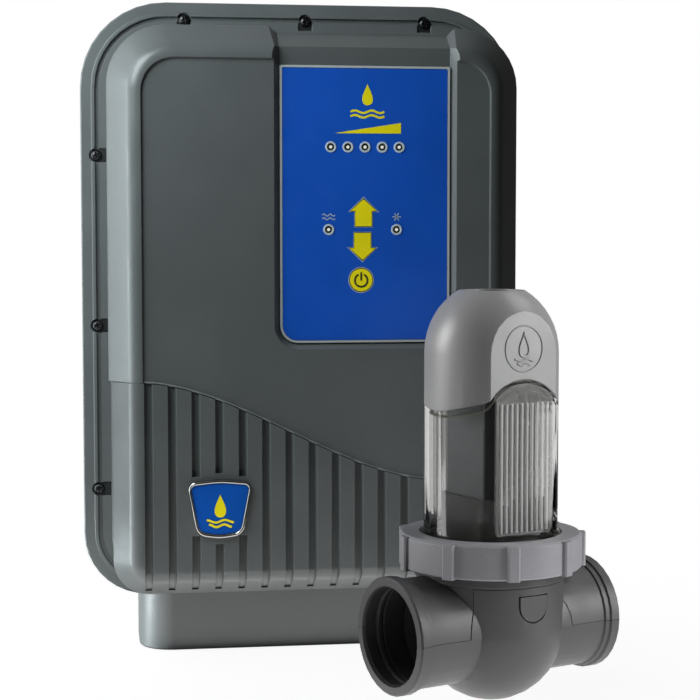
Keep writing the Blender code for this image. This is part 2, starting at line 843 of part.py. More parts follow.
def make_electronics():
    """Control board, power board, transformer, cooler and terminals."""
    y = FLANGE_Y
    board_with_parts(
        "control_board",
        ((-22, y - 95.5, 236), (88, y - 93.9, 407)),
        [
            ((KEY_X - 4, y - 98.9, 312), (KEY_X + 5, y - 95.0, 322)),
            ((KEY_X - 4, y - 98.9, 290), (KEY_X + 5, y - 95.0, 300)),
            ((KEY_X - 6, y - 98.9, 266), (KEY_X + 4, y - 95.0, 276)),
            ((-16, y - 94.4, 250), (24, y - 88.6, 268)),
            ((40, y - 94.4, 330), (62, y - 90.5, 352)),
        ],
    )
    board_with_parts(
        "power_board",
        ((-124, y - 16.6, 154), (10, y - 15.0, 422)),
        [
            ((-112, y - 52.0, 372), (-72, y - 16.0, 408)),
            ((-60, y - 46.0, 376), (-24, y - 16.0, 404)),
            ((-112, y - 40.0, 300), (-92, y - 16.0, 350)),
            ((-70, y - 34.0, 240), (-20, y - 16.0, 290)),
            ((-112, y - 30.0, 168), (-36, y - 16.0, 184)),
        ],
    )
    coil_profile = [
        (19, -18.6),
        (44, -18.6),
        (50, -12),
        (50, 20),
        (44, 26.6),
        (19, 26.6),
        (14, 21),
        (14, -13),
    ]
    coil = turned("transformer_coil", coil_profile, "copper", axis="Y", segments=24)
    clamp_profile = [(0, -18.6), (3.5, -18.6), (3.5, 26.9), (32, 26.9)]
    clamp_profile += [(30, 29.5), (8, 29.5), (8, 35), (0, 35)]
    turning = {"axis": "Y", "segments": 24, "ends_on_axis": True}
    clamp = turned("transformer_clamp", clamp_profile, "sink_metal", **turning)
    for piece in (coil, clamp):
        piece.location = Vector((78, FLANGE_Y, 190)) * MM
    fins = [(-108, -13.0)]
    for i in range(9):
        x = -108 + i * 10
        fins += [(x, 9.0), (x + 2.5, 9.0), (x + 2.5, -13.0), (x + 10, -13.0)]
    fins = fins[:-1] + [(-25.5, -13.0), (-25.5, -18.6), (-108, -18.6)]
    outline = [(x, FLANGE_Y - d) for x, d in dict.fromkeys(fins)]
    loft("heat_sink", [level(outline, z) for z in (200, 350)], "sink_metal")
    block = box("terminal_block", (-96, y - 100.5, 72), (-16, y - COVER_DEPTH, 92), "rubber_black")
    wells = bmesh.new()
    for i in range(8):
        profile = [(0, 96), (3.2, 96), (3.2, 101.5), (0, 101.5)]
        add_turned(wells, profile, "Y", (-91 + i * 10, y, 82), 12, ends_on_axis=True)
    combine(block, add_object("terminal_wells", wells))
    fuse_profile = [(0, COVER_DEPTH), (8, COVER_DEPTH), (8, 94), (6.5, 94)]
    fuse_profile += [(6.5, 100), (5.5, 101), (0, 101)]
    fuse = turned("fuse_holder", fuse_profile, "rubber_black", axis="Y", segments=20, ends_on_axis=True)
    fuse.location = Vector((20, FLANGE_Y, 84)) * MM


# Cell


def cell_frame():
    """Empty that carries the cell's own frame to its place beside the power pack."""
    frame = bpy.data.objects.new("cell_frame", None)
    bpy.context.scene.collection.objects.link(frame)
    frame.location = Vector((CELL_X, CELL_Y, 0)) * MM
    frame.rotation_euler.z = CELL_TURN
    return frame


def sphere_profile(radius, centre_z, low, high, steps):
    """(radius, z) points up a sphere between two heights."""
    points = []
    first = math.asin(max(-1.0, (low - centre_z) / radius))
    last = math.asin(min(1.0, (high - centre_z) / radius))
    for i in range(steps + 1):
        turn = first + (last - first) * i / steps
        points.append((radius * math.cos(turn), centre_z + radius * math.sin(turn)))
    return points


def sector(name, inner, outer, spread, low, high, parent):
    """Front and back wedges of a ring, each spreading to both sides of the Y axis."""
    bm = bmesh.new()
    for middle in (-90, 90):
        half = math.degrees(spread)
        outline = arc(0, 0, outer, middle - half, middle + half, 10)
        outline += arc(0, 0, inner, middle + half, middle - half, 10)
        add_loft(bm, [level(outline, z) for z in (low, high)])
    return add_object(name, bm, None, parent)


def latch_outline(half, low, top):
    """D shape: flat top, round bottom."""
    return [(half, top), *arc(0, low + half, half, 0, -180, 10), (-half, top)]


def latch_helper(name, half, low, top, near, far, parent):
    """D-shaped blocks through the front and the back of the housing."""
    bm = bmesh.new()
    for sign in (-1, 1):
        rings = [[(x, sign * y, z) for x, z in latch_outline(half, low, top)] for y in (near, far)]
        add_loft(bm, rings)
    return add_object(name, bm, None, parent)


def housing_forms(parent):
    """Shapes that both halves of the pipe housing are cut from."""
    tube = [
        (0, -PORT_HALF),
        (PORT_FLANGE_RADIUS - 1, -PORT_HALF),
        (PORT_FLANGE_RADIUS, -PORT_HALF + 1),
        (PORT_FLANGE_RADIUS, -PORT_HALF + PORT_FLANGE_THICK),
        (TUBE_RADIUS + 1.2, -PORT_HALF + PORT_FLANGE_THICK + 0.6),
        (TUBE_RADIUS + 1.2, -PORT_HALF + PORT_FLANGE_THICK + 4),
        (TUBE_RADIUS, -PORT_HALF + PORT_FLANGE_THICK + 4.6),
    ]
    tube += [(r, -a) for r, a in reversed(tube)]
    place = {"axis": "X", "centre": (0, 0, PIPE_Z), "segments": 32, "ends_on_axis": True}
    tubes = turned("tube_form", tube, parent=parent, **place)
    groove, groove_half, groove_at = PORT_BORE + 2.2, 3.3, 66.0
    bore = [(0, -PORT_HALF - 1), (PORT_BORE + 0.8, -PORT_HALF - 1), (PORT_BORE, -PORT_HALF + 1.5)]
    bore += [(PORT_BORE, -groove_at - groove_half), (groove, -groove_at - groove_half)]
    bore += [(groove, -groove_at + groove_half), (PORT_BORE, -groove_at + groove_half)]
    bore += [(r, -a) for r, a in reversed(bore)]
    bores = turned("bore_form", bore, parent=parent, **place)
    cavity = [(0, BOWL_Z - BOWL_INSIDE)]
    cavity += sphere_profile(BOWL_INSIDE, BOWL_Z, BOWL_Z - BOWL_INSIDE + 0.3, PIPE_Z, 6)
    cavity += [(NECK_BORE, PIPE_Z + 0.05), (NECK_BORE, SEAT_Z + 5), (0, SEAT_Z + 5)]
    cavities = turned("cavity_form", cavity, parent=parent, segments=ROUND_STEPS, ends_on_axis=True)
    return tubes, bores, cavities


def make_housing(parent):
    """Lower cradle with its bowl and cheeks, and upper saddle with the threaded neck."""
    tubes, bores, cavities = housing_forms(parent)
    bowl = [(0, 0), (6, 0), *sphere_profile(BOWL_RADIUS, BOWL_Z, 0.3, BOWL_Z, 7)]
    bowl += [(NECK_RADIUS, BOWL_Z + 2), (NECK_RADIUS, CHEEK_TOP + 2), (0, CHEEK_TOP + 2)]
    cradle = turned("pipe_cradle", bowl, "housing_grey", parent, segments=ROUND_STEPS, ends_on_axis=True)
    combine(cradle, tubes, "UNION")
    reach = 120
    lower = box("cradle_region", (-reach, -reach, -5), (reach, reach, PIPE_Z - GAP / 2), parent=parent)
    cheeks = sector("cheek_region", CHEEK_INSIDE, 62, CHEEK_SPREAD, 20, CHEEK_TOP, parent)
    combine(lower, cheeks, "UNION")
    combine(cradle, lower, "INTERSECT")
    combine(cradle, bores)
    combine(cradle, cavities)
    combine(cradle, latch_helper("latch_windows", 11.3, 57.7, 75.8, 42, 60, parent))

    neck = [
        (NECK_BORE, PIPE_Z - 8),
        (NECK_RADIUS, PIPE_Z - 8),
        (NECK_RADIUS, CHEEK_TOP + GAP),
        (COLLAR_RADIUS, CHEEK_TOP + 1.5),
        (COLLAR_RADIUS, 86.5),
        (THREAD_RADIUS, 87.5),
        (THREAD_RADIUS, SEAT_Z - 1),
        (THREAD_RADIUS - 1, SEAT_Z),
        (47.8, SEAT_Z),
        (47.8, SEAT_Z - 2),
        (45.4, SEAT_Z - 2),
        (45.4, SEAT_Z),
        (NECK_BORE, SEAT_Z),
    ]
    saddle = turned("pipe_saddle", neck, "housing_grey", parent, segments=ROUND_STEPS)
    combine(saddle, tubes, "UNION")
    above = box("saddle_cut", (-reach, -reach, -50), (reach, reach, PIPE_Z + GAP / 2), parent=parent)
    spread = CHEEK_SPREAD + math.radians(0.4)
    room = sector("cheek_room", CHEEK_INSIDE - GAP, 70, spread, 20, CHEEK_TOP + GAP, parent)
    combine(above, room, "UNION")
    combine(saddle, above)
    combine(saddle, cavities)
    combine(saddle, bores)
    boss = latch_helper("latch_bosses", 10.5, 58.5, 75, 42.5, 47.2, parent)
    return combine(saddle, boss, "UNION")


def make_seals(parent):
    """Pipe seals in the two mouths and the O-ring under the vessel flange."""
    for name, sign in (("port_seal_left", -1), ("port_seal_right", 1)):
        middle = 66.0 * sign
        profile = [
            (PORT_BORE - 1.0, middle - 1.2),
            (PORT_BORE + 0.4, middle - 2.9),
            (PORT_BORE + 1.9, middle - 2.9),
            (PORT_BORE + 1.9, middle + 2.9),
            (PORT_BORE + 0.4, middle + 2.9),
            (PORT_BORE - 1.0, middle + 1.2),
        ]
        turned(name, profile, "rubber_black", parent, axis="X", centre=(0, 0, PIPE_Z), segments=32)
    section = [(46.6 + x, SEAT_Z - 0.95 + z) for x, z in arc(0, 0, 0.9, 0, 300, 5)]
    turned("vessel_o_ring", section, "rubber_black", parent, segments=32)


def make_lock_ring(parent):
    """Union nut with grip lugs, and the slip washer under its lip."""
    profile = [
        (53.2, RING_LOW),
        (RING_RADIUS - 1, RING_LOW),
        (RING_RADIUS, RING_LOW + 1),
        (RING_RADIUS, RING_TOP - 1.6),
        (RING_RADIUS - 1.6, RING_TOP),
        (46.5, RING_TOP),
        (46.5, RING_TOP - 3.4),
        (53.2, RING_TOP - 3.4),
    ]
    ring = turned("lock_ring", profile, "ring_grey", parent, segments=54)
    lugs = bmesh.new()
    for i in range(RING_LUGS):
        turn = RING_LUG_START + 2 * math.pi * i / RING_LUGS
        spin = Matrix.Rotation(turn, 3, "Z")
        low_side, high_side, tip = (4.2, -57), (4.0, 1.1 - RING_LUG_RADIUS), (3.0, -RING_LUG_RADIUS)
        half = [low_side, high_side, tip]
        outline = [(-x, y) for x, y in half] + half[::-1]
        rings = []
        for z in (RING_LOW - 0.4, RING_TOP - 0.6):
            rings.append([spin @ Vector((x, y, z)) for x, y in outline])
        add_loft(lugs, rings)
    combine(ring, add_object("ring_lugs", lugs, None, parent), "UNION")
    low = SEAT_Z + GAP + 3.6 + GAP
    washer = [(47, low), (52.6, low), (52.6, RING_TOP - 3.4 - GAP), (47, RING_TOP - 3.4 - GAP)]
    turned("slip_washer", washer, "vessel_clear", parent, segments=32)


def flatted_outline(radius, flat, arc_steps=10, flat_steps=2):
    """Circle with flats at +Y and -Y."""
    half = math.degrees(math.acos(flat / radius))
    edge = math.sqrt(radius * radius - flat * flat)
    outline = []
    for side in (0, 180):
        outline += arc(0, 0, radius, side - 90 + half, side + 90 - half, arc_steps)
        sign = 1 if side == 0 else -1
        for i in range(1, flat_steps):
            outline.append((sign * edge * (1 - 2 * i / flat_steps), sign * flat))
    return outline


def circled(outline, radius):
    """The same number of points in the same directions, on a circle."""
    return [tuple(Vector(point).normalized() * radius) for point in outline]


def joint_height(x):
    """Height of the joint between vessel and cap: an arch over each flat, falling away at the sides."""
    if abs(x) <= FLAT_HALF:
        return JOINT_ARCH_TOP - JOINT_ARCH_RADIUS + math.sqrt(JOINT_ARCH_RADIUS**2 - x * x)
    side = math.sqrt(max(VESSEL_RADIUS**2 - x * x, 0)) / VESSEL_FLAT
    return JOINT_SIDE_Z + JOINT_SIDE_RISE * side**1.6


def joint_side(name, shift, far_z, parent):
    """Everything on one side of the joint line, right through the cell."""
    places = [FLAT_HALF * math.sin(math.pi * i / 20) for i in range(-10, 11)]
    for turn in (40, 28, 14, 0):
        side = VESSEL_RADIUS * math.cos(math.radians(turn))
        places += [-side, side]
    line = [(x, joint_height(x) + shift) for x in [-60, *sorted(places), 60]]
    outline = line + [(60, far_z), (-60, far_z)]
    return loft(name, [[(x, y, z) for x, z in outline] for y in (-60, 60)], parent=parent)


def make_vessel(parent):
    """Clear chamber: flatted body, flange that the lock ring holds, and the spigot in the neck."""
    outside = flatted_outline(VESSEL_RADIUS, VESSEL_FLAT)
    inside = flatted_outline(VESSEL_RADIUS - VESSEL_WALL, VESSEL_FLAT - VESSEL_WALL)
    flange_low = SEAT_Z + GAP
    flange_top = flange_low + 3.6
    rings = [
        level(outside, JOINT_ARCH_TOP + 2),
        level(outside, flange_top + 1),
        level(circled(outside, 45.5), flange_top),
        level(circled(outside, VESSEL_FLANGE_RADIUS), flange_top),
        level(circled(outside, VESSEL_FLANGE_RADIUS), flange_low),
        level(circled(outside, SPIGOT_RADIUS), flange_low),
        level(circled(outside, SPIGOT_RADIUS), SPIGOT_LOW),
        level(circled(inside, SPIGOT_RADIUS - 2.5), SPIGOT_LOW),
        level(circled(inside, SPIGOT_RADIUS - 2.5), flange_low),
        level(inside, flange_top + 2),
        level(inside, JOINT_ARCH_TOP + 2),
    ]
    vessel = loft("clear_vessel", rings, "vessel_clear", closed=True, parent=parent)
    return combine(vessel, joint_side("above_joint", -GAP / 2, 300, parent))


def dome_profile(shrink, low):
    """(radius, z) points up the cap's outside, or its inside when shrink is the wall."""
    radius, height = VESSEL_RADIUS - shrink, DOME_HEIGHT - shrink
    top = min(CAP_TOP - DOME_Z, height * 0.92)
    last = math.asin(top / height)
    points = [(radius, low)]
    for i in range(9):
        turn = last * i / 8
        points.append((radius * math.cos(turn), DOME_Z + height * math.sin(turn)))
    return points


def flat_slabs(name, flat, parent):
    """Blocks that take everything beyond the two flats off the cap."""
    spans = [((-60, flat, 150), (60, 60, 300)), ((-60, -60, 150), (60, -flat, 300))]
    return boxes(name, spans, parent)


def make_cap(parent):
    """Domed cap with two flats, whose lower edge arches over the window, and its cable socket."""
    low = JOINT_SIDE_Z - 3
    outside = [(0, low), *dome_profile(0, low), (0, CAP_TOP)]
    outside[-2] = (outside[-2][0], CAP_TOP)
    cap = turned("cell_cap", outside, "cap_grey", parent, segments=ROUND_STEPS, ends_on_axis=True)
    combine(cap, flat_slabs("cap_flats", VESSEL_FLAT, parent))
    inner_top = 250.0
    inside = [(0, low - 1), *dome_profile(VESSEL_WALL, low - 1)]
    inside = [point for point in inside if point[1] < inner_top] + [(30, inner_top), (0, inner_top)]
    hollow = turned("cap_hollow", inside, parent=parent, segments=ROUND_STEPS, ends_on_axis=True)
    combine(hollow, flat_slabs("hollow_flats", VESSEL_FLAT - VESSEL_WALL, parent))
    combine(cap, hollow)
    combine(cap, joint_side("below_joint", GAP / 2, 150, parent))
    above = CAP_TOP + 1
    socket = [(0, SOCKET_FLOOR), (SOCKET_RADIUS, SOCKET_FLOOR), (SOCKET_RADIUS, above), (0, above)]
    combine(cap, turned("cap_socket", socket, parent=parent, segments=32, ends_on_axis=True))
    holes = bmesh.new()
    for _, x in pin_places():
        profile = [(0, inner_top - 2), (2.8, inner_top - 2), (2.8, SOCKET_FLOOR + 1), (0, SOCKET_FLOOR + 1)]
        add_turned(holes, profile, "Z", (x, 0, 0), 12, ends_on_axis=True)
    return combine(cap, add_object("pin_holes", holes, None, parent))


def pin_places():
    return (("contact_pin_left", -8.0), ("contact_pin_middle", 0.0), ("contact_pin_right", 8.0))


def make_cell_inside(parent):
    """Contact pins, plate carrier, electrode plates and the baffle round their lower ends."""
    for name, x in pin_places():
        profile = [(0, CARRIER_TOP + GAP), (2.5, CARRIER_TOP + GAP), (2.5, 264), (1.8, 265), (0, 265)]
        place = {"centre": (x, 0, 0), "segments": 12, "ends_on_axis": True}
        turned(name, profile, "titanium", parent, **place)
    half = PLATE_PITCH * (PLATE_COUNT - 1) / 2
    low, high = (-half - 6, -22, CARRIER_LOW), (half + 6, 22, CARRIER_TOP)
    carrier = box("plate_carrier", low, high, "rubber_black", parent)
    slots = []
    for i in range(PLATE_COUNT):
        x = -half + i * PLATE_PITCH
        thick = PLATE_THICK / 2
        name = f"electrode_plate_{i + 1}"
        low, high = (x - thick, -PLATE_HALF, PLATE_LOW), (x + thick, PLATE_HALF, PLATE_TOP)
        box(name, low, high, "titanium", parent)
        room = thick + GAP
        reach = PLATE_HALF + GAP
        slots.append(((x - room, -reach, CARRIER_LOW - 1), (x + room, reach, PLATE_TOP + GAP)))
    combine(carrier, boxes("plate_slots", slots, parent))
    rings = []
    for inset, z in ((0, BAFFLE_LOW), (0, BAFFLE_TOP), (2, BAFFLE_TOP), (2, BAFFLE_LOW)):
        size = BAFFLE_HALF - inset
        rings.append(level(rounded_box(-size, size, -size, size, 2, 2, 3), z))
    loft("baffle", rings, "rubber_black", closed=True, parent=parent)


def main():
    clear_scene()
    holes, pockets = screw_hole_helper(), screw_pocket_helper()
    make_front_housing(holes, pockets)
    make_gasket(holes)
    make_rear_shell(holes)
    make_case_screws()
    make_foot()
    make_glands()
    make_upper_cover()
    make_lower_cover()
    make_badge()
    make_keypad()
    make_electronics()
    frame = cell_frame()
    make_housing(frame)
    make_seals(frame)
    make_lock_ring(frame)
    make_vessel(frame)
    make_cap(frame)
    make_cell_inside(frame)


main()
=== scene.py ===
"""Looks of the salt chlorine generator: materials, fine pieces, floor, light and camera.

Shapes below are drawn in millimetres and MM turns them into metres. Pieces of the power pack are
drawn as (x, z) outlines with a depth towards -Y. Pieces of the cell are drawn in the cell's own
frame, with the pipe along X, and cell_frame carries them to their place.
"""

import json
import math

import bmesh
import bpy
from mathutils import Matrix, Vector

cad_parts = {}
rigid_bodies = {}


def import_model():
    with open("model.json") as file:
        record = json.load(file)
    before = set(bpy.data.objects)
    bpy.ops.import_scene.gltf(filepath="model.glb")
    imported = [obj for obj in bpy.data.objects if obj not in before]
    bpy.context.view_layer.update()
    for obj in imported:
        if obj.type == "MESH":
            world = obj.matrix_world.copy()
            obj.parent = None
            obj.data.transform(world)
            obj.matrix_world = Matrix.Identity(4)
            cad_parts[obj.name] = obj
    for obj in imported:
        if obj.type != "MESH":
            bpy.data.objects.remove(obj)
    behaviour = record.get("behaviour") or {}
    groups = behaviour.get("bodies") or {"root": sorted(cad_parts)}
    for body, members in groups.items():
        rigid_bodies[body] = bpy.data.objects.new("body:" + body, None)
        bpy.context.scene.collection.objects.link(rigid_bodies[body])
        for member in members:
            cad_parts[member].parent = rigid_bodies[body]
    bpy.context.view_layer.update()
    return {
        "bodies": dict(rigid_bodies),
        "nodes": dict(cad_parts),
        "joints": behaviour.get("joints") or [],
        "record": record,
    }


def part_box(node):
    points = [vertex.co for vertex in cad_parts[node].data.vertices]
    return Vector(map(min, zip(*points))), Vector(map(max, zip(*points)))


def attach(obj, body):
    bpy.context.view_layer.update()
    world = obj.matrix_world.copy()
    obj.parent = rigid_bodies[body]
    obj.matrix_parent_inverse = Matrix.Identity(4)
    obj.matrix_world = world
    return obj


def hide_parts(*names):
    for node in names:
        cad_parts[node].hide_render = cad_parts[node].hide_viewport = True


MM = 0.001
CELL_TURN = 0.41

PACK_BODIES = ("case", "front_cover", "up_key", "down_key", "power_key")
CELL_BODIES = ("cell_housing", "vessel", "washer", "union_nut")

# Camera
CAMERA_PLACE = (-0.1584, -1.3337, 0.3096)
CAMERA_YAW = 0.143
CAMERA_PITCH = 0.069
CAMERA_LENS = 92.57
CAMERA_SENSOR = 36.0

# Surround light, as (direction share, brightness) along each axis
SIDE_LIGHT = ((-1.0, 1.0), (-0.3, 0.5), (0.2, 0.25), (1.0, 0.15))
DEPTH_LIGHT = ((-1.0, 0.08), (0.0, 0.45), (0.7, 0.9), (1.0, 2.0))
HEIGHT_LIGHT = ((-1.0, 0.9), (0.0, 0.75), (1.0, 1.4))
WORLD_POWER = 0.85

# Soft boxes: name, place, target, size, watts, spread in degrees, tint. The first word of a name
# tells which unit the light is for.
WHITE = (1.0, 1.0, 1.0)
COOL = (0.86, 0.97, 1.0)
LIGHTS = (
    ("pack_left_box", (-0.8, -0.17, 0.50), (0, 0, 0.28), (0.5, 1.2), 5.6, 180, COOL),
    ("pack_high_box", (-0.36, -0.34, 0.62), (-0.12, -0.05, 0.44), (0.25, 0.3), 2.8, 180, COOL),
    ("pack_left_strip", (-0.9, -0.03, 0.15), (0, -0.03, 0.10), (0.1, 1.0), 4.0, 180, COOL),
    ("pack_foot_box", (-0.42, -0.02, 0.02), (-0.12, -0.01, 0.02), (0.06, 0.06), 0.07, 40, COOL),
    ("pack_bounce", (-0.10, -0.14, 0.001), (-0.10, -0.14, 1), (0.6, 0.2), 0.6, 180, WHITE),
    ("cell_left_box", (-0.5, -0.05, 0.42), (0.1, -0.19, 0.26), (0.25, 0.5), 0.45, 50, WHITE),
    ("cell_right_box", (0.95, -0.60, 0.42), (0.1, -0.19, 0.20), (0.3, 0.6), 8.5, 180, WHITE),
    ("cell_top_box", (0.45, -0.10, 0.75), (0.1, -0.19, 0.15), (0.3, 0.3), 0.9, 180, WHITE),
    ("cell_bounce", (0.15, -0.30, 0.001), (0.15, -0.30, 1), (0.4, 0.3), 0.45, 180, WHITE),
)

# Plastic grain: its size and its depth on rough and on smooth mouldings, in metres
GRAIN_SIZE = 0.0007
GRAINED = 0.00004
SMOOTH = 0.00002

# Edges that turn by more than this many degrees stay sharp
SHARP_TURN = 32

# Floor
FLOOR_HALF = 30000
FLOOR_GLOW = 0.89

# Power pack
SCREW_HEAD_HEIGHT = 3.1
POCKET_HALF = 4.8
POCKET_FLOOR = 32.5
UNDER_COVER = 2.2
ARROW_SHAFT = 5.8
ARROW_HEAD = 9.2
ARROW_LENGTH = 19.0
ARROW_NECK = 10.8
WAVE_HIGH = 200.3
WAVE_LOW = 128.0
WAVE_START = -130.0
WAVE_END = 90.0

# Clear vessel, in the cell's frame
VESSEL_RADIUS = 43.7
VESSEL_FLAT = 35.0
VESSEL_WALL = 3.0
NECK_RADIUS = 40.7
NECK_WALL = 2.5
FOOT_RADIUS = 51.8
FLARE_TOP = 113.4
FLARE_RADIUS = 46.1
JOINT_SIDE_Z = 191.0
JOINT_SIDE_RISE = 7.8
JOINT_ARCH_TOP = 212.0
JOINT_ARCH_RADIUS = 33.4
JOINT_GAP = 0.15
FLAT_HALF = math.sqrt(VESSEL_RADIUS**2 - VESSEL_FLAT**2)
WINDOW_HALF = 22.6
WINDOW_LOW = 110.4
RIB_COUNT = 10
RIB_PITCH = 4.0
RIB_HALF = ((1.25, -0.5), (1.25, 0.5), (0.9, 1.25), (0.3, 1.6))
RIB_SECTION = (*((-across, out) for across, out in RIB_HALF), *reversed(RIB_HALF))
RIB_LOW = 115.0
RIB_TOP = 197.0
EMBLEM_Z = 231.7
PIPE_AXIS = 49.5
# Sleeves of painted shade inside the pipe mouths
SHADE_SLEEVE_RADIUS = 31.5
SHADE_SLEEVE_ENDS = ((47.0, 62.4), (69.6, 76.8))


# Materials


class Shading:
    """A node tree under construction, with the few node types the materials share."""

    def __init__(self, name):
        self.material = bpy.data.materials.new(name)
        self.material.use_nodes = True
        self.tree = self.material.node_tree
        self.shader = self.tree.nodes["Principled BSDF"]
        self.place = self.add("ShaderNodeTexCoord").outputs["Object"]

    def add(self, kind, **inputs):
        node = self.tree.nodes.new(kind)
        for key, value in inputs.items():
            self.feed(node.inputs[key.replace("_", " ")], value)
        return node

    def feed(self, socket, value):
        if isinstance(value, bpy.types.NodeSocket):
            self.tree.links.new(value, socket)
        else:
            socket.default_value = value

    def set(self, **inputs):
        for key, value in inputs.items():
            self.feed(self.shader.inputs[key.replace("_", " ")], value)

    def noise(self, size, detail=2.0, stretch=(1, 1, 1)):
        """Noise whose grains are about that many metres across."""
        place = self.place
        if stretch != (1, 1, 1):
            mapping = self.add("ShaderNodeMapping", Vector=place)
            mapping.inputs["Scale"].default_value = stretch
            place = mapping.outputs["Vector"]
        grains = self.add("ShaderNodeTexNoise", Vector=place, Scale=1 / size, Detail=detail)
        return grains.outputs["Fac"]

    def spread(self, value, low, high):
        """Turns a 0.3 to 0.7 signal into a number from low to high."""
        node = self.add("ShaderNodeMapRange", Value=value)
        for key, number in zip(("From Min", "From Max", "To Min", "To Max"), (0.3, 0.7, low, high)):
            node.inputs[key].default_value = number
        return node.outputs["Result"]

    def blend(self, amount, first, second):
        node = self.add("ShaderNodeMix")
        node.data_type = "RGBA"
        self.feed(node.inputs[0], amount)
        self.feed(node.inputs[6], first)
        self.feed(node.inputs[7], second)
        return node.outputs[2]

    def rounded_edges(self, radius):
        """Normals that turn softly over each edge, and how close a point is to an edge."""
        soft = self.add("ShaderNodeBevel", Radius=radius)
        soft.samples = 6
        plain = self.add("ShaderNodeNewGeometry")
        match = self.add("ShaderNodeVectorMath")
        match.operation = "DOT_PRODUCT"
        self.feed(match.inputs[0], soft.outputs["Normal"])
        self.feed(match.inputs[1], plain.outputs["Normal"])
        near = self.add("ShaderNodeMapRange", Value=match.outputs["Value"])
        for key, number in zip(("From Min", "From Max", "To Min", "To Max"), (0.75, 0.98, 1.0, 0.0)):
            near.inputs[key].default_value = number
        return soft.outputs["Normal"], near.outputs["Result"]

    def bump(self, height, depth, normal=None):
        node = self.add("ShaderNodeBump", Height=height, Distance=depth, Strength=1.0)
        if normal is not None:
            self.feed(node.inputs["Normal"], normal)
        return node.outputs["Normal"]


def rgb(colour, factor=1.0):
    return (*(min(channel * factor, 1.0) for channel in colour), 1.0)


def plastic(name, colour, roughness, relief=GRAINED, edge=0.0006, wear=1.25):
    """Moulded plastic: fine grain, cloudy colour, patches of shine, and rubbed edges."""
    s = Shading(name)
    normal, near = s.rounded_edges(edge)
    cloud = s.blend(s.spread(s.noise(0.06, 3.0), 0, 1), rgb(colour, 0.94), rgb(colour, 1.05))
    speck = s.blend(s.spread(s.noise(GRAIN_SIZE * 1.7, 1.0), 0, 0.35), cloud, rgb(colour, 0.8))
    worn = s.add("ShaderNodeMath", Value=near)
    worn.operation = "MULTIPLY"
    s.feed(worn.inputs[1], s.spread(s.noise(0.012, 4.0), 0.1, 0.8))
    s.set(Base_Color=s.blend(worn.outputs[0], speck, rgb(colour, wear)))
    s.set(Roughness=s.spread(s.noise(0.03, 3.0), roughness - 0.05, roughness + 0.06))
    s.set(Normal=s.bump(s.noise(GRAIN_SIZE, 2.0), relief, normal))
    return s.material


def rubber(name, colour):
    s = Shading(name)
    normal, _ = s.rounded_edges(0.0004)
    s.set(Base_Color=s.blend(s.spread(s.noise(0.01, 4.0), 0, 1), rgb(colour), rgb(colour, 1.6)))
    s.set(Roughness=s.spread(s.noise(0.004, 3.0), 0.55, 0.75))
    s.set(Normal=s.bump(s.noise(0.0005, 3.0), 0.00003, normal))
    return s.material


def metal(name, colour, roughness, stretch=(1, 1, 1)):
    """Bare or plated metal with faint scratches along one direction."""
    s = Shading(name)
    normal, _ = s.rounded_edges(0.0003)
    s.set(Metallic=1.0)
    s.set(Base_Color=s.blend(s.spread(s.noise(0.02, 3.0), 0, 1), rgb(colour, 0.92), rgb(colour, 1.04)))
    s.set(Roughness=s.spread(s.noise(0.002, 3.0, stretch), roughness * 0.8, roughness * 1.3))
    s.set(Normal=s.bump(s.noise(0.0006, 2.0, stretch), 0.000008, normal))
    return s.material


def print_ink(name, colour, roughness):
    """Printed foil or enamel: a smooth film with a fine stipple."""
    s = Shading(name)
    s.set(Base_Color=s.blend(s.spread(s.noise(0.05, 3.0), 0, 1), rgb(colour, 0.93), rgb(colour, 1.06)))
    s.set(Roughness=s.spread(s.noise(0.015, 3.0), roughness - 0.04, roughness + 0.05))
    s.set(Normal=s.bump(s.noise(0.0005, 2.0), 0.000012))
    s.set(Coat_Weight=0.15, Coat_Roughness=0.25)
    return s.material


def clear(name, colour, roughness=0.02, clearness=1.0, bend=1.36):
    """Clear moulded plastic with a slight flow ripple. A lower clearness makes it milky."""
    s = Shading(name)
    s.set(Base_Color=s.blend(s.spread(s.noise(0.04, 2.0), 0, 1), rgb(colour, 0.97), rgb(colour, 1.02)))
    s.set(Roughness=s.spread(s.noise(0.02, 3.0), roughness, roughness + 0.03))
    s.set(Transmission_Weight=clearness, IOR=bend)
    s.set(Coat_Weight=0.3, Coat_Roughness=0.04, Coat_IOR=1.5)
    s.set(Normal=s.bump(s.noise(0.012, 2.0), 0.000008))
    return s.material


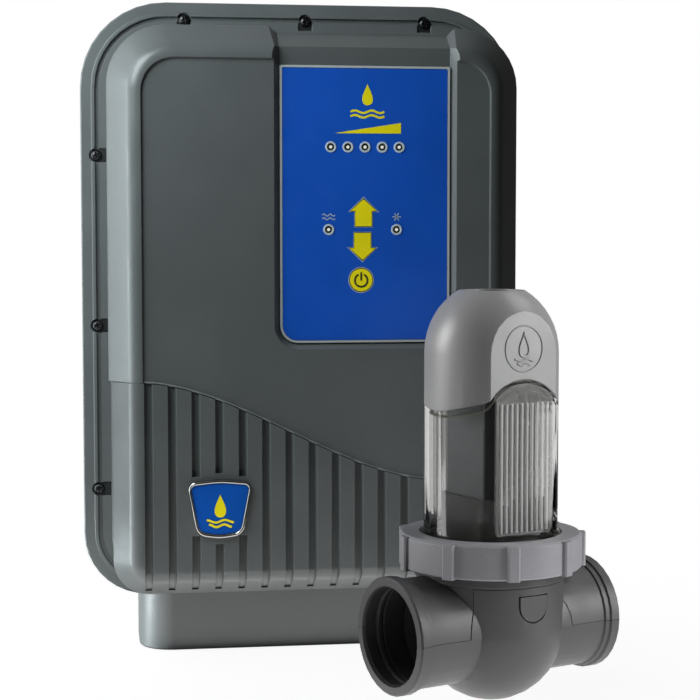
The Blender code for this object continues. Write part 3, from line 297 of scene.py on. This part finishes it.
def make_materials():
    across = (1, 1, 12)
    return {
        "case": plastic("case_plastic", (0.118, 0.125, 0.124), 0.38),
        "cover": plastic("cover_plastic", (0.100, 0.106, 0.105), 0.33),
        # Lighter copy of the cover plastic for the wave bead: a painted highlight.
        "bead": plastic("bead_plastic", (0.22, 0.23, 0.23), 0.3),
        "foot": plastic("foot_plastic", (0.105, 0.108, 0.107), 0.46),
        "housing": plastic("housing_plastic", (0.068, 0.068, 0.068), 0.46),
        "ring": plastic("ring_plastic", (0.30, 0.30, 0.32), 0.4, relief=SMOOTH, wear=1.15),
        "cap": plastic("cap_plastic", (0.30, 0.30, 0.305), 0.36, relief=SMOOTH, edge=0.0010, wear=1.15),
        "black": plastic("black_plastic", (0.012, 0.012, 0.012), 0.45),
        "rubber": rubber("seal_rubber", (0.014, 0.014, 0.014)),
        "olive": rubber("seal_olive", (0.10, 0.10, 0.075)),
        "screw": metal("screw_black", (0.05, 0.05, 0.052), 0.3),
        "silver": print_ink("trim_silver", (0.46, 0.48, 0.48), 0.3),
        "chrome": metal("badge_chrome", (0.42, 0.41, 0.40), 0.13),
        "titanium": metal("plate_titanium", (0.11, 0.115, 0.12), 0.5, across),
        "copper": metal("coil_copper", (0.65, 0.32, 0.15), 0.35, (1, 1, 30)),
        "aluminium": metal("sink_aluminium", (0.62, 0.62, 0.64), 0.35, across),
        "board": print_ink("board_green", (0.015, 0.14, 0.06), 0.4),
        "blue": print_ink("panel_blue", (0.005, 0.085, 0.50), 0.36),
        "yellow": print_ink("key_yellow", (0.90, 0.75, 0.004), 0.38),
        "pale": print_ink("print_pale", (0.36, 0.42, 0.50), 0.4),
        "lamp_ring": print_ink("lamp_ring_pale", (0.50, 0.56, 0.62), 0.35),
        "dark": print_ink("print_dark", (0.02, 0.03, 0.01), 0.4),
        "enamel": print_ink("badge_enamel", (0.006, 0.085, 0.42), 0.14),
        "lens": clear("lamp_lens", (0.55, 0.55, 0.50), 0.2),
        "clear": clear("vessel_clear", (0.66, 0.665, 0.655), bend=1.06),
        "window": clear("window_clear", (0.50, 0.50, 0.49), 0.25, 0.75),
        "rib": clear("rib_clear", (0.74, 0.74, 0.73), 0.2, 0.35),
    }


# Meshes


def add_loft(bm, rings, closed=False):
    """Joins rings of equally many points into one skin, capped at both ends or closed round."""
    rows = [[bm.verts.new(point) for point in ring] for ring in rings]
    pairs = list(zip(rows, rows[1:]))
    if closed:
        pairs.append((rows[-1], rows[0]))
    else:
        bm.faces.new(rows[0])
        bm.faces.new(rows[-1])
    for low, high in pairs:
        for i, start in enumerate(low):
            j = (i + 1) % len(low)
            bm.faces.new((start, low[j], high[j], high[i]))
    return bm


def new_object(name, bm, material, matrix=None, angle=SHARP_TURN):
    """An object made from a bmesh in millimetres."""
    bmesh.ops.recalc_face_normals(bm, faces=bm.faces)
    bm.transform((matrix or Matrix()) @ Matrix.Scale(MM, 4))
    mesh = bpy.data.meshes.new(name)
    bm.to_mesh(mesh)
    bm.free()
    mesh.shade_smooth()
    mesh.set_sharp_from_angle(angle=math.radians(angle))
    mesh.materials.append(material)
    obj = bpy.data.objects.new(name, mesh)
    bpy.context.scene.collection.objects.link(obj)
    return obj


def add_turned(bm, profile, segments=48, closed=False):
    """Spins (radius, height) points about Z. The first and last may lie on the axis."""
    rows = []
    for radius, height in profile:
        if radius == 0:
            rows.append([bm.verts.new((0, 0, height))])
            continue
        turns = [2 * math.pi * i / segments for i in range(segments)]
        rows.append([bm.verts.new((radius * math.cos(t), radius * math.sin(t), height)) for t in turns])
    pairs = list(zip(rows, rows[1:]))
    if closed:
        pairs.append((rows[-1], rows[0]))
    for low, high in pairs:
        for i in range(segments):
            j = (i + 1) % segments
            if len(low) == 1:
                bm.faces.new((low[0], high[j], high[i]))
            elif len(high) == 1:
                bm.faces.new((low[i], low[j], high[0]))
            else:
                bm.faces.new((low[i], low[j], high[j], high[i]))
    return bm


def arc(x, z, radius, start, end, steps):
    turns = [math.radians(start + (end - start) * i / steps) for i in range(steps + 1)]
    return [(x + radius * math.cos(t), z + radius * math.sin(t)) for t in turns]


def bake(obj):
    """Applies the object's modifiers to its mesh."""
    graph = bpy.context.evaluated_depsgraph_get()
    mesh = bpy.data.meshes.new_from_object(obj.evaluated_get(graph))
    obj.modifiers.clear()
    obj.data = mesh
    return obj


def combine(target, other, operation):
    """Boolean of target with a helper, which is then removed."""
    modifier = target.modifiers.new(other.name, "BOOLEAN")
    modifier.operation = operation
    modifier.solver = "EXACT"
    modifier.material_mode = "TRANSFER"
    modifier.object = other
    bake(target)
    bpy.data.objects.remove(other)
    return target


def centre_of(node):
    low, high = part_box(node)
    return (low + high) / 2


def spun(turn, axis):
    return Matrix.Rotation(math.radians(turn), 4, axis)


def facing(x, y, z):
    """Places a piece drawn with its axis along Z so that it points to -Y from a point in metres."""
    return Matrix.Translation((x, y, z)) @ spun(90, "X")


def level(outline, z):
    return [(x, y, z) for x, y in outline]


def relief(name, outline, height, material, matrix):
    """A flat outline raised by a height."""
    bm = add_loft(bmesh.new(), [level(outline, 0), level(outline, height)])
    return new_object(name, bm, material, matrix)


def stroke(points, width):
    """Outline of a line of that width along points, with square ends."""
    left, right = [], []
    for i, point in enumerate(points):
        before = Vector(points[max(i - 1, 0)])
        after = Vector(points[min(i + 1, len(points) - 1)])
        along = (after - before).normalized()
        side = Vector((-along.y, along.x)) * width / 2
        left.append(tuple(Vector(point) + side))
        right.append(tuple(Vector(point) - side))
    return left + right[::-1]


def drop_outline(x, y, size, steps=20):
    """A water drop, tip up."""
    points = []
    for i in range(steps):
        turn = 2 * math.pi * i / steps
        lean = math.sin(turn / 2) ** 1.6
        points.append((x + size * 0.72 * math.sin(turn) * lean, y + size * math.cos(turn)))
    return points[::-1]


def wave_points(x, y, width, height, waves, steps=24):
    points = []
    for i in range(steps + 1):
        share = i / steps - 0.5
        points.append((x + width * share, y + height * math.sin(2 * math.pi * waves * share)))
    return points


# CAD nodes that keep their shape


def dress(node, material):
    """Gives a CAD node its material and even shading. Its mesh stays as it is."""
    for slot in node.material_slots:
        slot.material = material
    if "custom_normal" in node.data.attributes:
        node.data.attributes.remove(node.data.attributes["custom_normal"])
    node.data.shade_smooth()
    weld = node.modifiers.new("weld", "WELD")
    weld.merge_threshold = 0.00001
    split = node.modifiers.new("split", "EDGE_SPLIT")
    split.split_angle = math.radians(SHARP_TURN)
    even = node.modifiers.new("even", "WEIGHTED_NORMAL")
    even.weight = 100


def dress_nodes(nodes, paint):
    finishes = {
        "case": ["front_housing", "rear_shell"],
        "cover": ["upper_cover", "lower_cover"],
        "foot": ["foot_shroud"],
        "housing": ["pipe_saddle", "pipe_cradle"],
        "ring": ["lock_ring"],
        "cap": ["cell_cap"],
        "black": ["cable_gland_mains", "cable_gland_cell", "terminal_block", "fuse_holder"],
        "rubber": ["case_gasket", "vessel_o_ring", "port_seal_left", "port_seal_right"],
        "silver": ["keypad_bezel"],
        "blue": ["keypad_panel"],
        "yellow": ["key_up", "key_down", "key_power"],
        "board": ["control_board", "power_board"],
        "copper": ["transformer_coil"],
        "aluminium": ["heat_sink", "transformer_clamp"],
        "clear": ["slip_washer"],
        "titanium": ["contact_pin_left", "contact_pin_middle", "contact_pin_right"],
    }
    finishes["black"] += ["plate_carrier", "baffle"]
    finishes["titanium"] += [f"electrode_plate_{i}" for i in range(1, 6)]
    for finish, names in finishes.items():
        for name in names:
            dress(nodes[name], paint[finish])


# Power pack pieces


def make_screws(nodes, paint):
    """Case screws with a domed head and a cross recess."""
    profile = [(0, -13), (1.9, -12), (1.9, 0), (4.0, 0), (4.0, 1.0), (3.7, 1.9)]
    profile += [(2.8, 2.7), (1.5, 3.05), (0, SCREW_HEAD_HEIGHT)]
    model = new_object("screw_model", add_turned(bmesh.new(), profile, 32), paint["screw"])
    for turn in (0, 90):
        bm = bmesh.new()
        bmesh.ops.create_cube(bm, size=1, matrix=Matrix.Diagonal((4.6, 0.95, 3.2, 1)))
        bm.transform(Matrix.Translation((0, 0, 3.0)) @ spun(turn + 20, "Z"))
        combine(model, new_object("cross", bm, paint["screw"]), "DIFFERENCE")
    for name in sorted(n for n in nodes if n.startswith("case_screw_")):
        low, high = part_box(name)
        screw = bpy.data.objects.new(name + "_head", model.data)
        bpy.context.scene.collection.objects.link(screw)
        top = low.y + SCREW_HEAD_HEIGHT * MM
        screw.matrix_world = facing((low.x + high.x) / 2, top, (low.z + high.z) / 2)
        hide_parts(name)
        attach(screw, "case")
    bpy.data.objects.remove(model)


def make_pocket_shade_plates(nodes, paint):
    """Black plates of painted shade on the floors of the screw pockets, from the screw to the case wall.
    """
    low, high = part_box("upper_cover")
    middle = (low.x + high.x) / 2
    for name in sorted(n for n in nodes if n.startswith("case_screw_")):
        centre = centre_of(name)
        gap = centre.z - high.z if "top" in name else abs(centre.x - middle) - (high.x - middle)
        run = gap / MM + UNDER_COVER
        turn = -90 if "top" in name else (0 if "left" in name else 180)
        outline = [*arc(0, 0, POCKET_HALF, 90, 270, 12), (run, -POCKET_HALF), (run, POCKET_HALF)]
        place = facing(centre.x, POCKET_FLOOR * MM, centre.z) @ spun(turn, "Z")
        # Painted shade: a thin black plate on the pocket floor stands in for the shade in the pocket.
        pocket_shade = relief(name + "_pocket", outline, 0.4, paint["black"], place)
        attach(pocket_shade, "case")


def wave_height(x):
    """Height of the line between the two covers."""
    share = min(max((x - WAVE_START) / (WAVE_END - WAVE_START), 0), 1)
    return WAVE_HIGH - (WAVE_HIGH - WAVE_LOW) * share * share * (3 - 2 * share)


def make_wave_highlight_bead(paint):
    """Light bead along the lower edge of the upper cover, a painted highlight where the ledge catches
    light.
    """
    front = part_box("lower_cover")[0].y / MM + 2.0
    bm = bmesh.new()
    rings = []
    for i in range(61):
        x = -124.0 + 248.0 * i / 60
        z = wave_height(x) + 0.75
        section = ((0.5, 0.5), (0.5, -0.5), (-0.1, -0.6), (-0.35, 0), (-0.1, 0.6))
        rings.append([(x, front + y, z + rise) for y, rise in section])
    add_loft(bm, rings)
    # Painted highlight: a light bead stands in for the lit edge of the ledge.
    bead = new_object("wave_bead", bm, paint["bead"])
    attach(bead, "case")


def make_lamps(nodes, paint):
    """Indicator lamps: a bright ring round a dark well with a small clear lens."""
    for name in sorted(n for n in nodes if n.startswith("lamp_")):
        low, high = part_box(name)
        place = facing((low.x + high.x) / 2, low.y + 1.4 * MM, (low.z + high.z) / 2)
        ring = [(2.6, -0.9), (2.6, 0.2), (2.8, 0.5), (3.7, 0.5), (3.9, 0.2), (3.9, 0)]
        well = [(0, -3.6), (2.5, -3.6), (2.5, 0.0), (2.1, -0.6), (0, -0.9)]
        lens = [(0, -0.85), (1.1, -0.6), (1.1, -0.1), (0.9, 0.25), (0.5, 0.45), (0, 0.5)]
        parts = (("ring", ring, 32, "lamp_ring"), ("well", well, 32, "dark"), ("lens", lens, 24, "lens"))
        for part, profile, segments, finish in parts:
            shape = add_turned(bmesh.new(), profile, segments, part == "ring")
            piece = new_object(f"{name}_{part}", shape, paint[finish], place)
            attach(piece, "case")
            if part == "ring":
                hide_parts(name)


def make_panel_print(paint):
    """Generic signs on the keypad: a drop over waves, a rising bar and lamp signs."""
    low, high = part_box("keypad_panel")
    front = low.y
    place = facing(0, front, 0)
    thick = 0.10
    lamps = [centre_of(f"lamp_level_{i}") / MM for i in range(1, 6)]
    flow, salt = centre_of("lamp_flow") / MM, centre_of("lamp_salt") / MM
    signs = [("print_drop", drop_outline(35.5, 401.5, 7.6), "yellow")]
    for i in range(2):
        line = wave_points(35.5, 389.5 - 3.2 * i, 24, 0.9, 2)
        signs.append((f"print_wave_{i + 1}", stroke(line, 1.5), "yellow"))
    left, right = lamps[0].x + 2.5, lamps[4].x + 1.2
    base = lamps[0].z + 9.6
    signs.append(("print_level_bar", [(left, base), (right, base), (right, base + 7.4)], "yellow"))
    for i in range(2):
        line = wave_points(flow.x, flow.z + 10.2 - 2.6 * i, 9, 0.7, 2)
        signs.append((f"print_flow_{i + 1}", stroke(line, 0.8), "pale"))
    for i, turn in enumerate((0, 60, 120)):
        reach = Vector((math.cos(math.radians(turn)), math.sin(math.radians(turn)))) * 3.0
        middle = Vector((salt.x, salt.z + 9.0))
        line = [tuple(middle - reach), tuple(middle + reach)]
        signs.append((f"print_salt_{i + 1}", stroke(line, 0.8), "pale"))
    for name, outline, finish in signs:
        sign = relief(name, outline, thick, paint[finish], place)
        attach(sign, "case")


def make_power_sign(paint):
    """Dark standby sign on the round key."""
    low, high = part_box("key_power")
    place = facing((low.x + high.x) / 2, low.y, (low.z + high.z) / 2)
    ring = stroke(arc(0, -0.3, 4.5, 115, 425, 30), 1.3)
    bar = stroke([(0, 5.4), (0, -0.4)], 1.3)
    for name, outline in (("standby_ring", ring), ("standby_bar", bar)):
        sign = relief(name, outline, 0.1, paint["dark"], place)
        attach(sign, "power_key")


def arrow_outline(side, wing, rise):
    """The arrow key's outline, widened at the shaft and the head and lengthened at the tip."""
    shaft, head = ARROW_SHAFT + side, ARROW_HEAD + wing
    length, neck = ARROW_LENGTH + rise, ARROW_NECK - side
    right = [(shaft, -side), (shaft, neck), (head, neck)]
    return [*right, (0, length), *((-x, y) for x, y in reversed(right))]


def make_key_borders(paint):
    """Pale printed border round each key."""
    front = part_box("keypad_panel")[0].y
    for name, up in (("key_up", 1), ("key_down", -1)):
        low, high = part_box(name)
        base = low.z if up > 0 else high.z
        place = facing((low.x + high.x) / 2, front, base)
        bm = bmesh.new()
        inner, outer = arrow_outline(0.45, 0.9, 0.9), arrow_outline(0.8, 1.9, 1.8)
        section = ((inner, 0), (outer, 0), (outer, 0.08), (inner, 0.08))
        rings = [[(x, up * y, height) for x, y in line] for line, height in section]
        add_loft(bm, rings, closed=True)
        border = new_object(name + "_border", bm, paint["pale"], place)
        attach(border, "case")
    low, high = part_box("key_power")
    place = facing((low.x + high.x) / 2, front, (low.z + high.z) / 2)
    ring = [(8.6, 0), (9.2, 0), (9.2, 0.08), (8.6, 0.08)]
    shape = add_turned(bmesh.new(), ring, 48, True)
    border = new_object("key_power_border", shape, paint["pale"], place)
    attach(border, "case")


def rounded_corners(corners, radii, steps=8):
    """Outline through corner points, each corner replaced by an arc of its radius."""
    points = []
    for i, corner in enumerate(corners):
        here = Vector(corner)
        before = (Vector(corners[i - 1]) - here).normalized()
        after = (Vector(corners[(i + 1) % len(corners)]) - here).normalized()
        half = before.angle(after) / 2
        centre = here + (before + after).normalized() * radii[i] / math.sin(half)
        first = here + before * radii[i] / math.tan(half) - centre
        last = here + after * radii[i] / math.tan(half) - centre
        for k in range(steps + 1):
            points.append(tuple(centre + first.slerp(last, k / steps).normalized() * radii[i]))
    return points


def badge_outline(inset):
    """Shield outline about its own middle, with both edges slightly arched."""
    top, low = 21.0 - inset, -21.0 + inset
    wide, narrow = 23.4 - inset, 16.4 - inset * 0.75
    right = [(narrow, low + 2.4), (wide, top - 1.6)]
    left = [(-wide, top - 1.6), (-narrow, low + 2.4)]
    corners = [*right, (0, top + 0.4), *left, (0, low - 0.2)]
    return rounded_corners(corners, [9 - inset, 6 - inset, 60, 6 - inset, 9 - inset, 40])


def make_badge(paint):
    """Bright rounded rim, domed enamel, and a generic drop over a wave."""
    low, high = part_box("badge_rim")
    place = facing((low.x + high.x) / 2, high.y, (low.z + high.z) / 2)
    bm = bmesh.new()
    section = ((0, 0), (0, 1.2), (0.4, 2.1), (1.1, 2.7), (1.8, 2.7), (2.5, 2.1), (2.8, 1.2), (2.8, 0))
    add_loft(bm, [[(x, y, h) for x, y in badge_outline(i)] for i, h in section], closed=True)
    rim = new_object("badge_bright_rim", bm, paint["chrome"], place, 60)
    bm = bmesh.new()
    inner = badge_outline(2.9)
    rings = [[(x, y, 0) for x, y in inner]]
    for share in (1.0, 0.93, 0.8, 0.6, 0.35, 0.1):
        rings.append([(x * share, y * share, 1.6 + 0.9 * (1 - share**2)) for x, y in inner])
    add_loft(bm, rings)
    face = new_object("badge_enamel_face", bm, paint["enamel"], place, 60)
    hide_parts("badge_rim")
    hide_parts("badge_face")
    signs = [("badge_drop", drop_outline(0, 2.6, 8.2))]
    for i in range(2):
        line = wave_points(0, -8.2 - 3.2 * i, 19 - 3 * i, 0.9, 1.5)
        signs.append((f"badge_wave_{i + 1}", stroke(line, 1.5)))
    for name, outline in signs:
        sign = relief(name, outline, 2.62, paint["yellow"], place)
        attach(sign, "front_cover")
    for piece in (rim, face):
        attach(piece, "front_cover")


# Cell pieces


def cell_frame():
    axis = centre_of("slip_washer")
    return Matrix.Translation((axis.x, axis.y, 0)) @ Matrix.Rotation(CELL_TURN, 4, "Z")


def flatted_outline(radius, flat, arc_steps=28, flat_steps=24):
    """Circle with flats at +Y and -Y."""
    half = math.degrees(math.acos(flat / radius))
    edge = math.sqrt(radius * radius - flat * flat)
    outline = []
    for side, sign in ((0, 1), (180, -1)):
        outline += arc(0, 0, radius, side - 90 + half, side + 90 - half, arc_steps)
        outline += [(sign * edge * (1 - 2 * i / flat_steps), sign * flat) for i in range(1, flat_steps)]
    return outline


def joint_height(x):
    """Height of the joint between vessel and cap: an arch over each flat, falling away at the sides."""
    if abs(x) <= FLAT_HALF:
        return JOINT_ARCH_TOP - JOINT_ARCH_RADIUS + math.sqrt(JOINT_ARCH_RADIUS**2 - x * x)
    side = math.sqrt(max(VESSEL_RADIUS**2 - x * x, 0)) / VESSEL_FLAT
    return JOINT_SIDE_Z + JOINT_SIDE_RISE * side**1.6


def joint_side(shift, far_z, material):
    """Everything on one side of the joint line, right through the cell."""
    places = [FLAT_HALF * math.sin(math.pi * i / 60) for i in range(-30, 31)]
    for turn in range(0, 52, 4):
        side = VESSEL_RADIUS * math.cos(math.radians(turn))
        places += [-side, side]
    line = [(x, joint_height(x) + shift) for x in [-60, *sorted(places), 60]]
    outline = line + [(60, far_z), (-60, far_z)]
    bm = add_loft(bmesh.new(), [[(x, y, z) for x, z in outline] for y in (-60, 60)])
    return new_object("joint_side", bm, material)


def circled(outline, radius):
    return [tuple(Vector(point).normalized() * radius) for point in outline]


def window_outline(inset, top):
    """Pad of the ribbed window: rounded at the foot, arched at the top."""
    half, low = WINDOW_HALF - inset, WINDOW_LOW + inset
    radius = 8 - inset
    side = [*arc(half - radius, low + radius, radius, -90, 0, 8)]
    over = []
    for i in range(25):
        x = half * math.cos(math.pi * i / 24)
        over.append((x, joint_height(x) - top - inset))
    return side + over + [*arc(-half + radius, low + radius, radius, 180, 270, 8)]


def make_vessel(paint, frame):
    """Clear chamber with a flat on each side, and a ribbed window pad on each flat."""
    glass = paint["clear"]
    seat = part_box("clear_vessel")
    shoulder = (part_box("slip_washer")[0].z) / MM - 0.3
    low = seat[0].z / MM
    outside = flatted_outline(VESSEL_RADIUS, VESSEL_FLAT)
    inside = flatted_outline(VESSEL_RADIUS - VESSEL_WALL, VESSEL_FLAT - VESSEL_WALL)
    rings = [
        level(outside, JOINT_ARCH_TOP + 2),
        level(outside, FLARE_TOP),
        level(circled(outside, 45.0), FLARE_TOP - 2.2),
        level(circled(outside, FLARE_RADIUS), FLARE_TOP - 3.4),
        level(circled(outside, FLARE_RADIUS), shoulder),
        level(circled(outside, FOOT_RADIUS), shoulder),
        level(circled(outside, FOOT_RADIUS), shoulder - 3.6),
        level(circled(outside, NECK_RADIUS), shoulder - 3.6),
        level(circled(outside, NECK_RADIUS), low),
        level(circled(inside, NECK_RADIUS - NECK_WALL), low),
        level(circled(inside, NECK_RADIUS - NECK_WALL), shoulder - 3.6),
        level(inside, shoulder + 2),
        level(inside, JOINT_ARCH_TOP + 2),
    ]
    vessel = new_object("vessel_glass", add_loft(bmesh.new(), rings, closed=True), glass)
    combine(vessel, joint_side(-JOINT_GAP, 300, glass), "DIFFERENCE")
    for sign in (-1, 1):
        bm = bmesh.new()
        rings = []
        for inset, y in ((0, VESSEL_FLAT - 1), (0, VESSEL_FLAT + 0.6), (0.5, VESSEL_FLAT + 1.1)):
            rings.append([(x, sign * y, z) for x, z in window_outline(inset, 2.4)])
        rings.append([(x, sign * (VESSEL_FLAT + 1.1), z) for x, z in window_outline(2.0, 4.4)])
        rings.append([(x, sign * (VESSEL_FLAT + 0.4), z) for x, z in window_outline(2.6, 5.0)])
        add_loft(bm, rings)
        combine(vessel, new_object("window_pad", bm, paint["window"]), "UNION")
        tab = rounded_corners([(-10, 110.6), (8, 110.6), (8, 113.2), (-10, 113.2)], [1.2] * 4, 4)
        faces = (sign * (VESSEL_FLAT + 0.5), sign * (VESSEL_FLAT + 2.2))
        bm = add_loft(bmesh.new(), [[(x, y, z) for x, z in tab] for y in faces])
        combine(vessel, new_object("window_tab", bm, glass), "UNION")
        bm = bmesh.new()
        for i in range(RIB_COUNT):
            x = (i - (RIB_COUNT - 1) / 2) * RIB_PITCH
            section = [(x + across, sign * (VESSEL_FLAT + out)) for across, out in RIB_SECTION]
            add_loft(bm, [level(section, RIB_LOW), level(section, min(RIB_TOP, joint_height(x) - 7))])
        combine(vessel, new_object("window_ribs", bm, paint["rib"]), "UNION")
    vessel.data.transform(frame)
    vessel.data.shade_smooth()
    vessel.data.set_sharp_from_angle(angle=math.radians(35))
    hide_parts("clear_vessel")
    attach(vessel, "vessel")


def make_joint_seal(paint, frame):
    """Two olive seal lips inside the top of the vessel, which follow the arched joint."""
    outer = flatted_outline(VESSEL_RADIUS - VESSEL_WALL - 0.3, VESSEL_FLAT - VESSEL_WALL - 0.3)
    inner = flatted_outline(VESSEL_RADIUS - VESSEL_WALL - 1.5, VESSEL_FLAT - VESSEL_WALL - 1.5)
    for name, top, low in (("upper", 0.7, 1.7), ("lower", 5.4, 6.4)):
        rings = []
        for outline, drop in ((outer, top), (outer, low), (inner, low), (inner, top)):
            rings.append([(x, y, joint_height(x) - drop) for x, y in outline])
        shape = add_loft(bmesh.new(), rings, closed=True)
        lip = new_object(f"joint_seal_{name}", shape, paint["olive"], frame)
        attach(lip, "vessel")


def make_port_shade_sleeves(paint, frame):
    """Black sleeves of painted shade on both sides of the seal in each pipe mouth, which darken the
    bore.
    """
    axis = frame @ Matrix.Translation((0, 0, PIPE_AXIS * MM))
    for side, turn in (("left", -90), ("right", 90)):
        place = axis @ spun(turn, "Y")
        for part, (near, far) in zip(("inner", "outer"), SHADE_SLEEVE_ENDS):
            thin = SHADE_SLEEVE_RADIUS - 0.5
            wall = [(SHADE_SLEEVE_RADIUS, near), (SHADE_SLEEVE_RADIUS, far), (thin, far), (thin, near)]
            tube = add_turned(bmesh.new(), wall, 64, True)
            # Painted shade: the black rubber finish on these sleeves stands in for the shade deep in the
            # bore.
            shade_sleeve = new_object(f"port_sleeve_{side}_{part}", tube, paint["rubber"], place)
            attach(shade_sleeve, "cell_housing")


def make_cap_emblem(paint, frame):
    """Generic raised drop over waves in a ring, on both flats of the cap."""
    plastic_cap = paint["cap"]
    for side, turn in (("front", 0), ("back", 180)):
        place = frame @ spun(turn, "Z") @ facing(0, -(VESSEL_FLAT - 0.05) * MM, EMBLEM_Z * MM)
        ring = add_turned(bmesh.new(), [(14.0, 0), (15.2, 0), (15.0, 0.5), (14.2, 0.5)], 64, True)
        outer, inner = drop_outline(0, 2.6, 8.4, 28), drop_outline(0, 2.2, 6.6, 28)
        section = ((inner, 0), (inner, 0.6), (outer, 0.6), (outer, 0))
        drop = add_loft(bmesh.new(), [level(line, height) for line, height in section], closed=True)
        pieces = [
            new_object(f"emblem_ring_{side}", ring, plastic_cap, place),
            new_object(f"emblem_drop_{side}", drop, plastic_cap, place),
        ]
        for i in range(2):
            wave = stroke(wave_points(0, -7.2 - 2.8 * i, 15 - 4 * i, 0.7, 1.5), 1.2)
            pieces.append(relief(f"emblem_wave_{i + 1}_{side}", wave, 0.6, plastic_cap, place))
        for piece in pieces:
            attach(piece, "vessel")


# Floor, light and camera


def make_floor():
    """White paper that glows a little, so its shadows stay faint. Only cameras and glass see it."""
    bm = bmesh.new()
    bmesh.ops.create_grid(bm, x_segments=1, y_segments=1, size=FLOOR_HALF)
    s = Shading("floor_paper")
    cloud = s.spread(s.noise(0.5, 3.0), 0, 1)
    s.set(Base_Color=s.blend(cloud, rgb((0.50, 0.50, 0.50)), rgb((0.53, 0.53, 0.53))))
    s.set(Roughness=s.spread(s.noise(0.2, 3.0), 0.8, 0.9))
    s.set(Specular_IOR_Level=0.0, Emission_Color=(1, 1, 1, 1), Emission_Strength=FLOOR_GLOW)
    floor = new_object("floor", bm, s.material, Matrix.Translation((0, 0, -0.0002)))
    floor.visible_diffuse = False
    floor.visible_glossy = False


def add_ramp(tree, value, stops):
    """Brightness over a direction's share from -1 to 1."""
    shift = tree.nodes.new("ShaderNodeMapRange")
    shift.inputs["From Min"].default_value = -1.0
    tree.links.new(value, shift.inputs["Value"])
    ramp = tree.nodes.new("ShaderNodeValToRGB")
    tree.links.new(shift.outputs["Result"], ramp.inputs["Fac"])
    while len(ramp.color_ramp.elements) < len(stops):
        ramp.color_ramp.elements.new(0.5)
    for element, (position, brightness) in zip(ramp.color_ramp.elements, stops):
        element.position = (position + 1) / 2
        element.color = (brightness, brightness, brightness, 1)
    return ramp.outputs["Color"]


def make_world():
    """Studio surround: bright on the left and behind, dark in front. Camera and glass see it white."""
    world = bpy.data.worlds.new("studio")
    bpy.context.scene.world = world
    world.use_nodes = True
    tree = world.node_tree
    tree.nodes.clear()
    output = tree.nodes.new("ShaderNodeOutputWorld")
    place = tree.nodes.new("ShaderNodeTexCoord")
    axes = tree.nodes.new("ShaderNodeSeparateXYZ")
    tree.links.new(place.outputs["Generated"], axes.inputs["Vector"])
    shade = add_ramp(tree, axes.outputs["X"], SIDE_LIGHT)
    for axis, stops in (("Y", DEPTH_LIGHT), ("Z", HEIGHT_LIGHT)):
        product = tree.nodes.new("ShaderNodeVectorMath")
        product.operation = "MULTIPLY"
        tree.links.new(shade, product.inputs[0])
        tree.links.new(add_ramp(tree, axes.outputs[axis], stops), product.inputs[1])
        shade = product.outputs["Vector"]
    around = tree.nodes.new("ShaderNodeBackground")
    around.inputs["Strength"].default_value = WORLD_POWER
    tree.links.new(shade, around.inputs["Color"])
    seen = tree.nodes.new("ShaderNodeBackground")
    seen.inputs["Color"].default_value = (1, 1, 1, 1)
    path = tree.nodes.new("ShaderNodeLightPath")
    straight = tree.nodes.new("ShaderNodeMath")
    straight.operation = "MAXIMUM"
    tree.links.new(path.outputs["Is Camera Ray"], straight.inputs[0])
    tree.links.new(path.outputs["Is Transmission Ray"], straight.inputs[1])
    choose = tree.nodes.new("ShaderNodeMixShader")
    tree.links.new(straight.outputs[0], choose.inputs["Fac"])
    tree.links.new(around.outputs["Background"], choose.inputs[1])
    tree.links.new(seen.outputs["Background"], choose.inputs[2])
    tree.links.new(choose.outputs["Shader"], output.inputs["Surface"])


def add_light(name, place, target, size, power, group, spread, tint):
    """Soft box that lights, and is shaded by, only the pieces of a group."""
    data = bpy.data.lights.new(name, "AREA")
    data.shape = "RECTANGLE"
    data.size, data.size_y = size
    data.energy = power
    data.spread = math.radians(spread)
    data.color = tint
    light = bpy.data.objects.new(name, data)
    bpy.context.scene.collection.objects.link(light)
    light.location = place
    light.rotation_euler = (Vector(target) - Vector(place)).to_track_quat("-Z", "Y").to_euler()
    light.visible_camera = False
    light.light_linking.receiver_collection = group
    light.light_linking.blocker_collection = group


def gather(name, bodies, wanted):
    """A collection of all the pieces on some bodies, which a light can be limited to."""
    group = bpy.data.collections.new(name)
    for body in wanted:
        for piece in bodies[body].children:
            group.objects.link(piece)
    return group


def make_camera():
    data = bpy.data.cameras.new("camera")
    data.lens = CAMERA_LENS
    data.sensor_width = CAMERA_SENSOR
    data.clip_end = 50
    camera = bpy.data.objects.new("camera", data)
    bpy.context.scene.collection.objects.link(camera)
    camera.location = CAMERA_PLACE
    flat = math.cos(CAMERA_PITCH)
    look = Vector((math.sin(CAMERA_YAW) * flat, math.cos(CAMERA_YAW) * flat, -math.sin(CAMERA_PITCH)))
    camera.rotation_euler = look.to_track_quat("-Z", "Y").to_euler()
    bpy.context.scene.camera = camera


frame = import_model()
bpy.context.scene.view_settings.view_transform = "Standard"
make_camera()
paint = make_materials()
dress_nodes(frame["nodes"], paint)
make_screws(frame["nodes"], paint)
make_pocket_shade_plates(frame["nodes"], paint)
make_wave_highlight_bead(paint)
make_lamps(frame["nodes"], paint)
make_panel_print(paint)
make_power_sign(paint)
make_key_borders(paint)
make_badge(paint)
cell = cell_frame()
make_vessel(paint, cell)
make_joint_seal(paint, cell)
make_port_shade_sleeves(paint, cell)
make_cap_emblem(paint, cell)
make_floor()
make_world()
groups = {
    "pack": gather("pack_pieces", frame["bodies"], PACK_BODIES),
    "cell": gather("cell_pieces", frame["bodies"], CELL_BODIES),
}
for name, place, target, size, power, spread, tint in LIGHTS:
    add_light(name, place, target, size, power, groups[name.split("_")[0]], spread, tint)
for body in PACK_BODIES:
    for piece in frame["bodies"][body].children:
        piece.visible_transmission = False
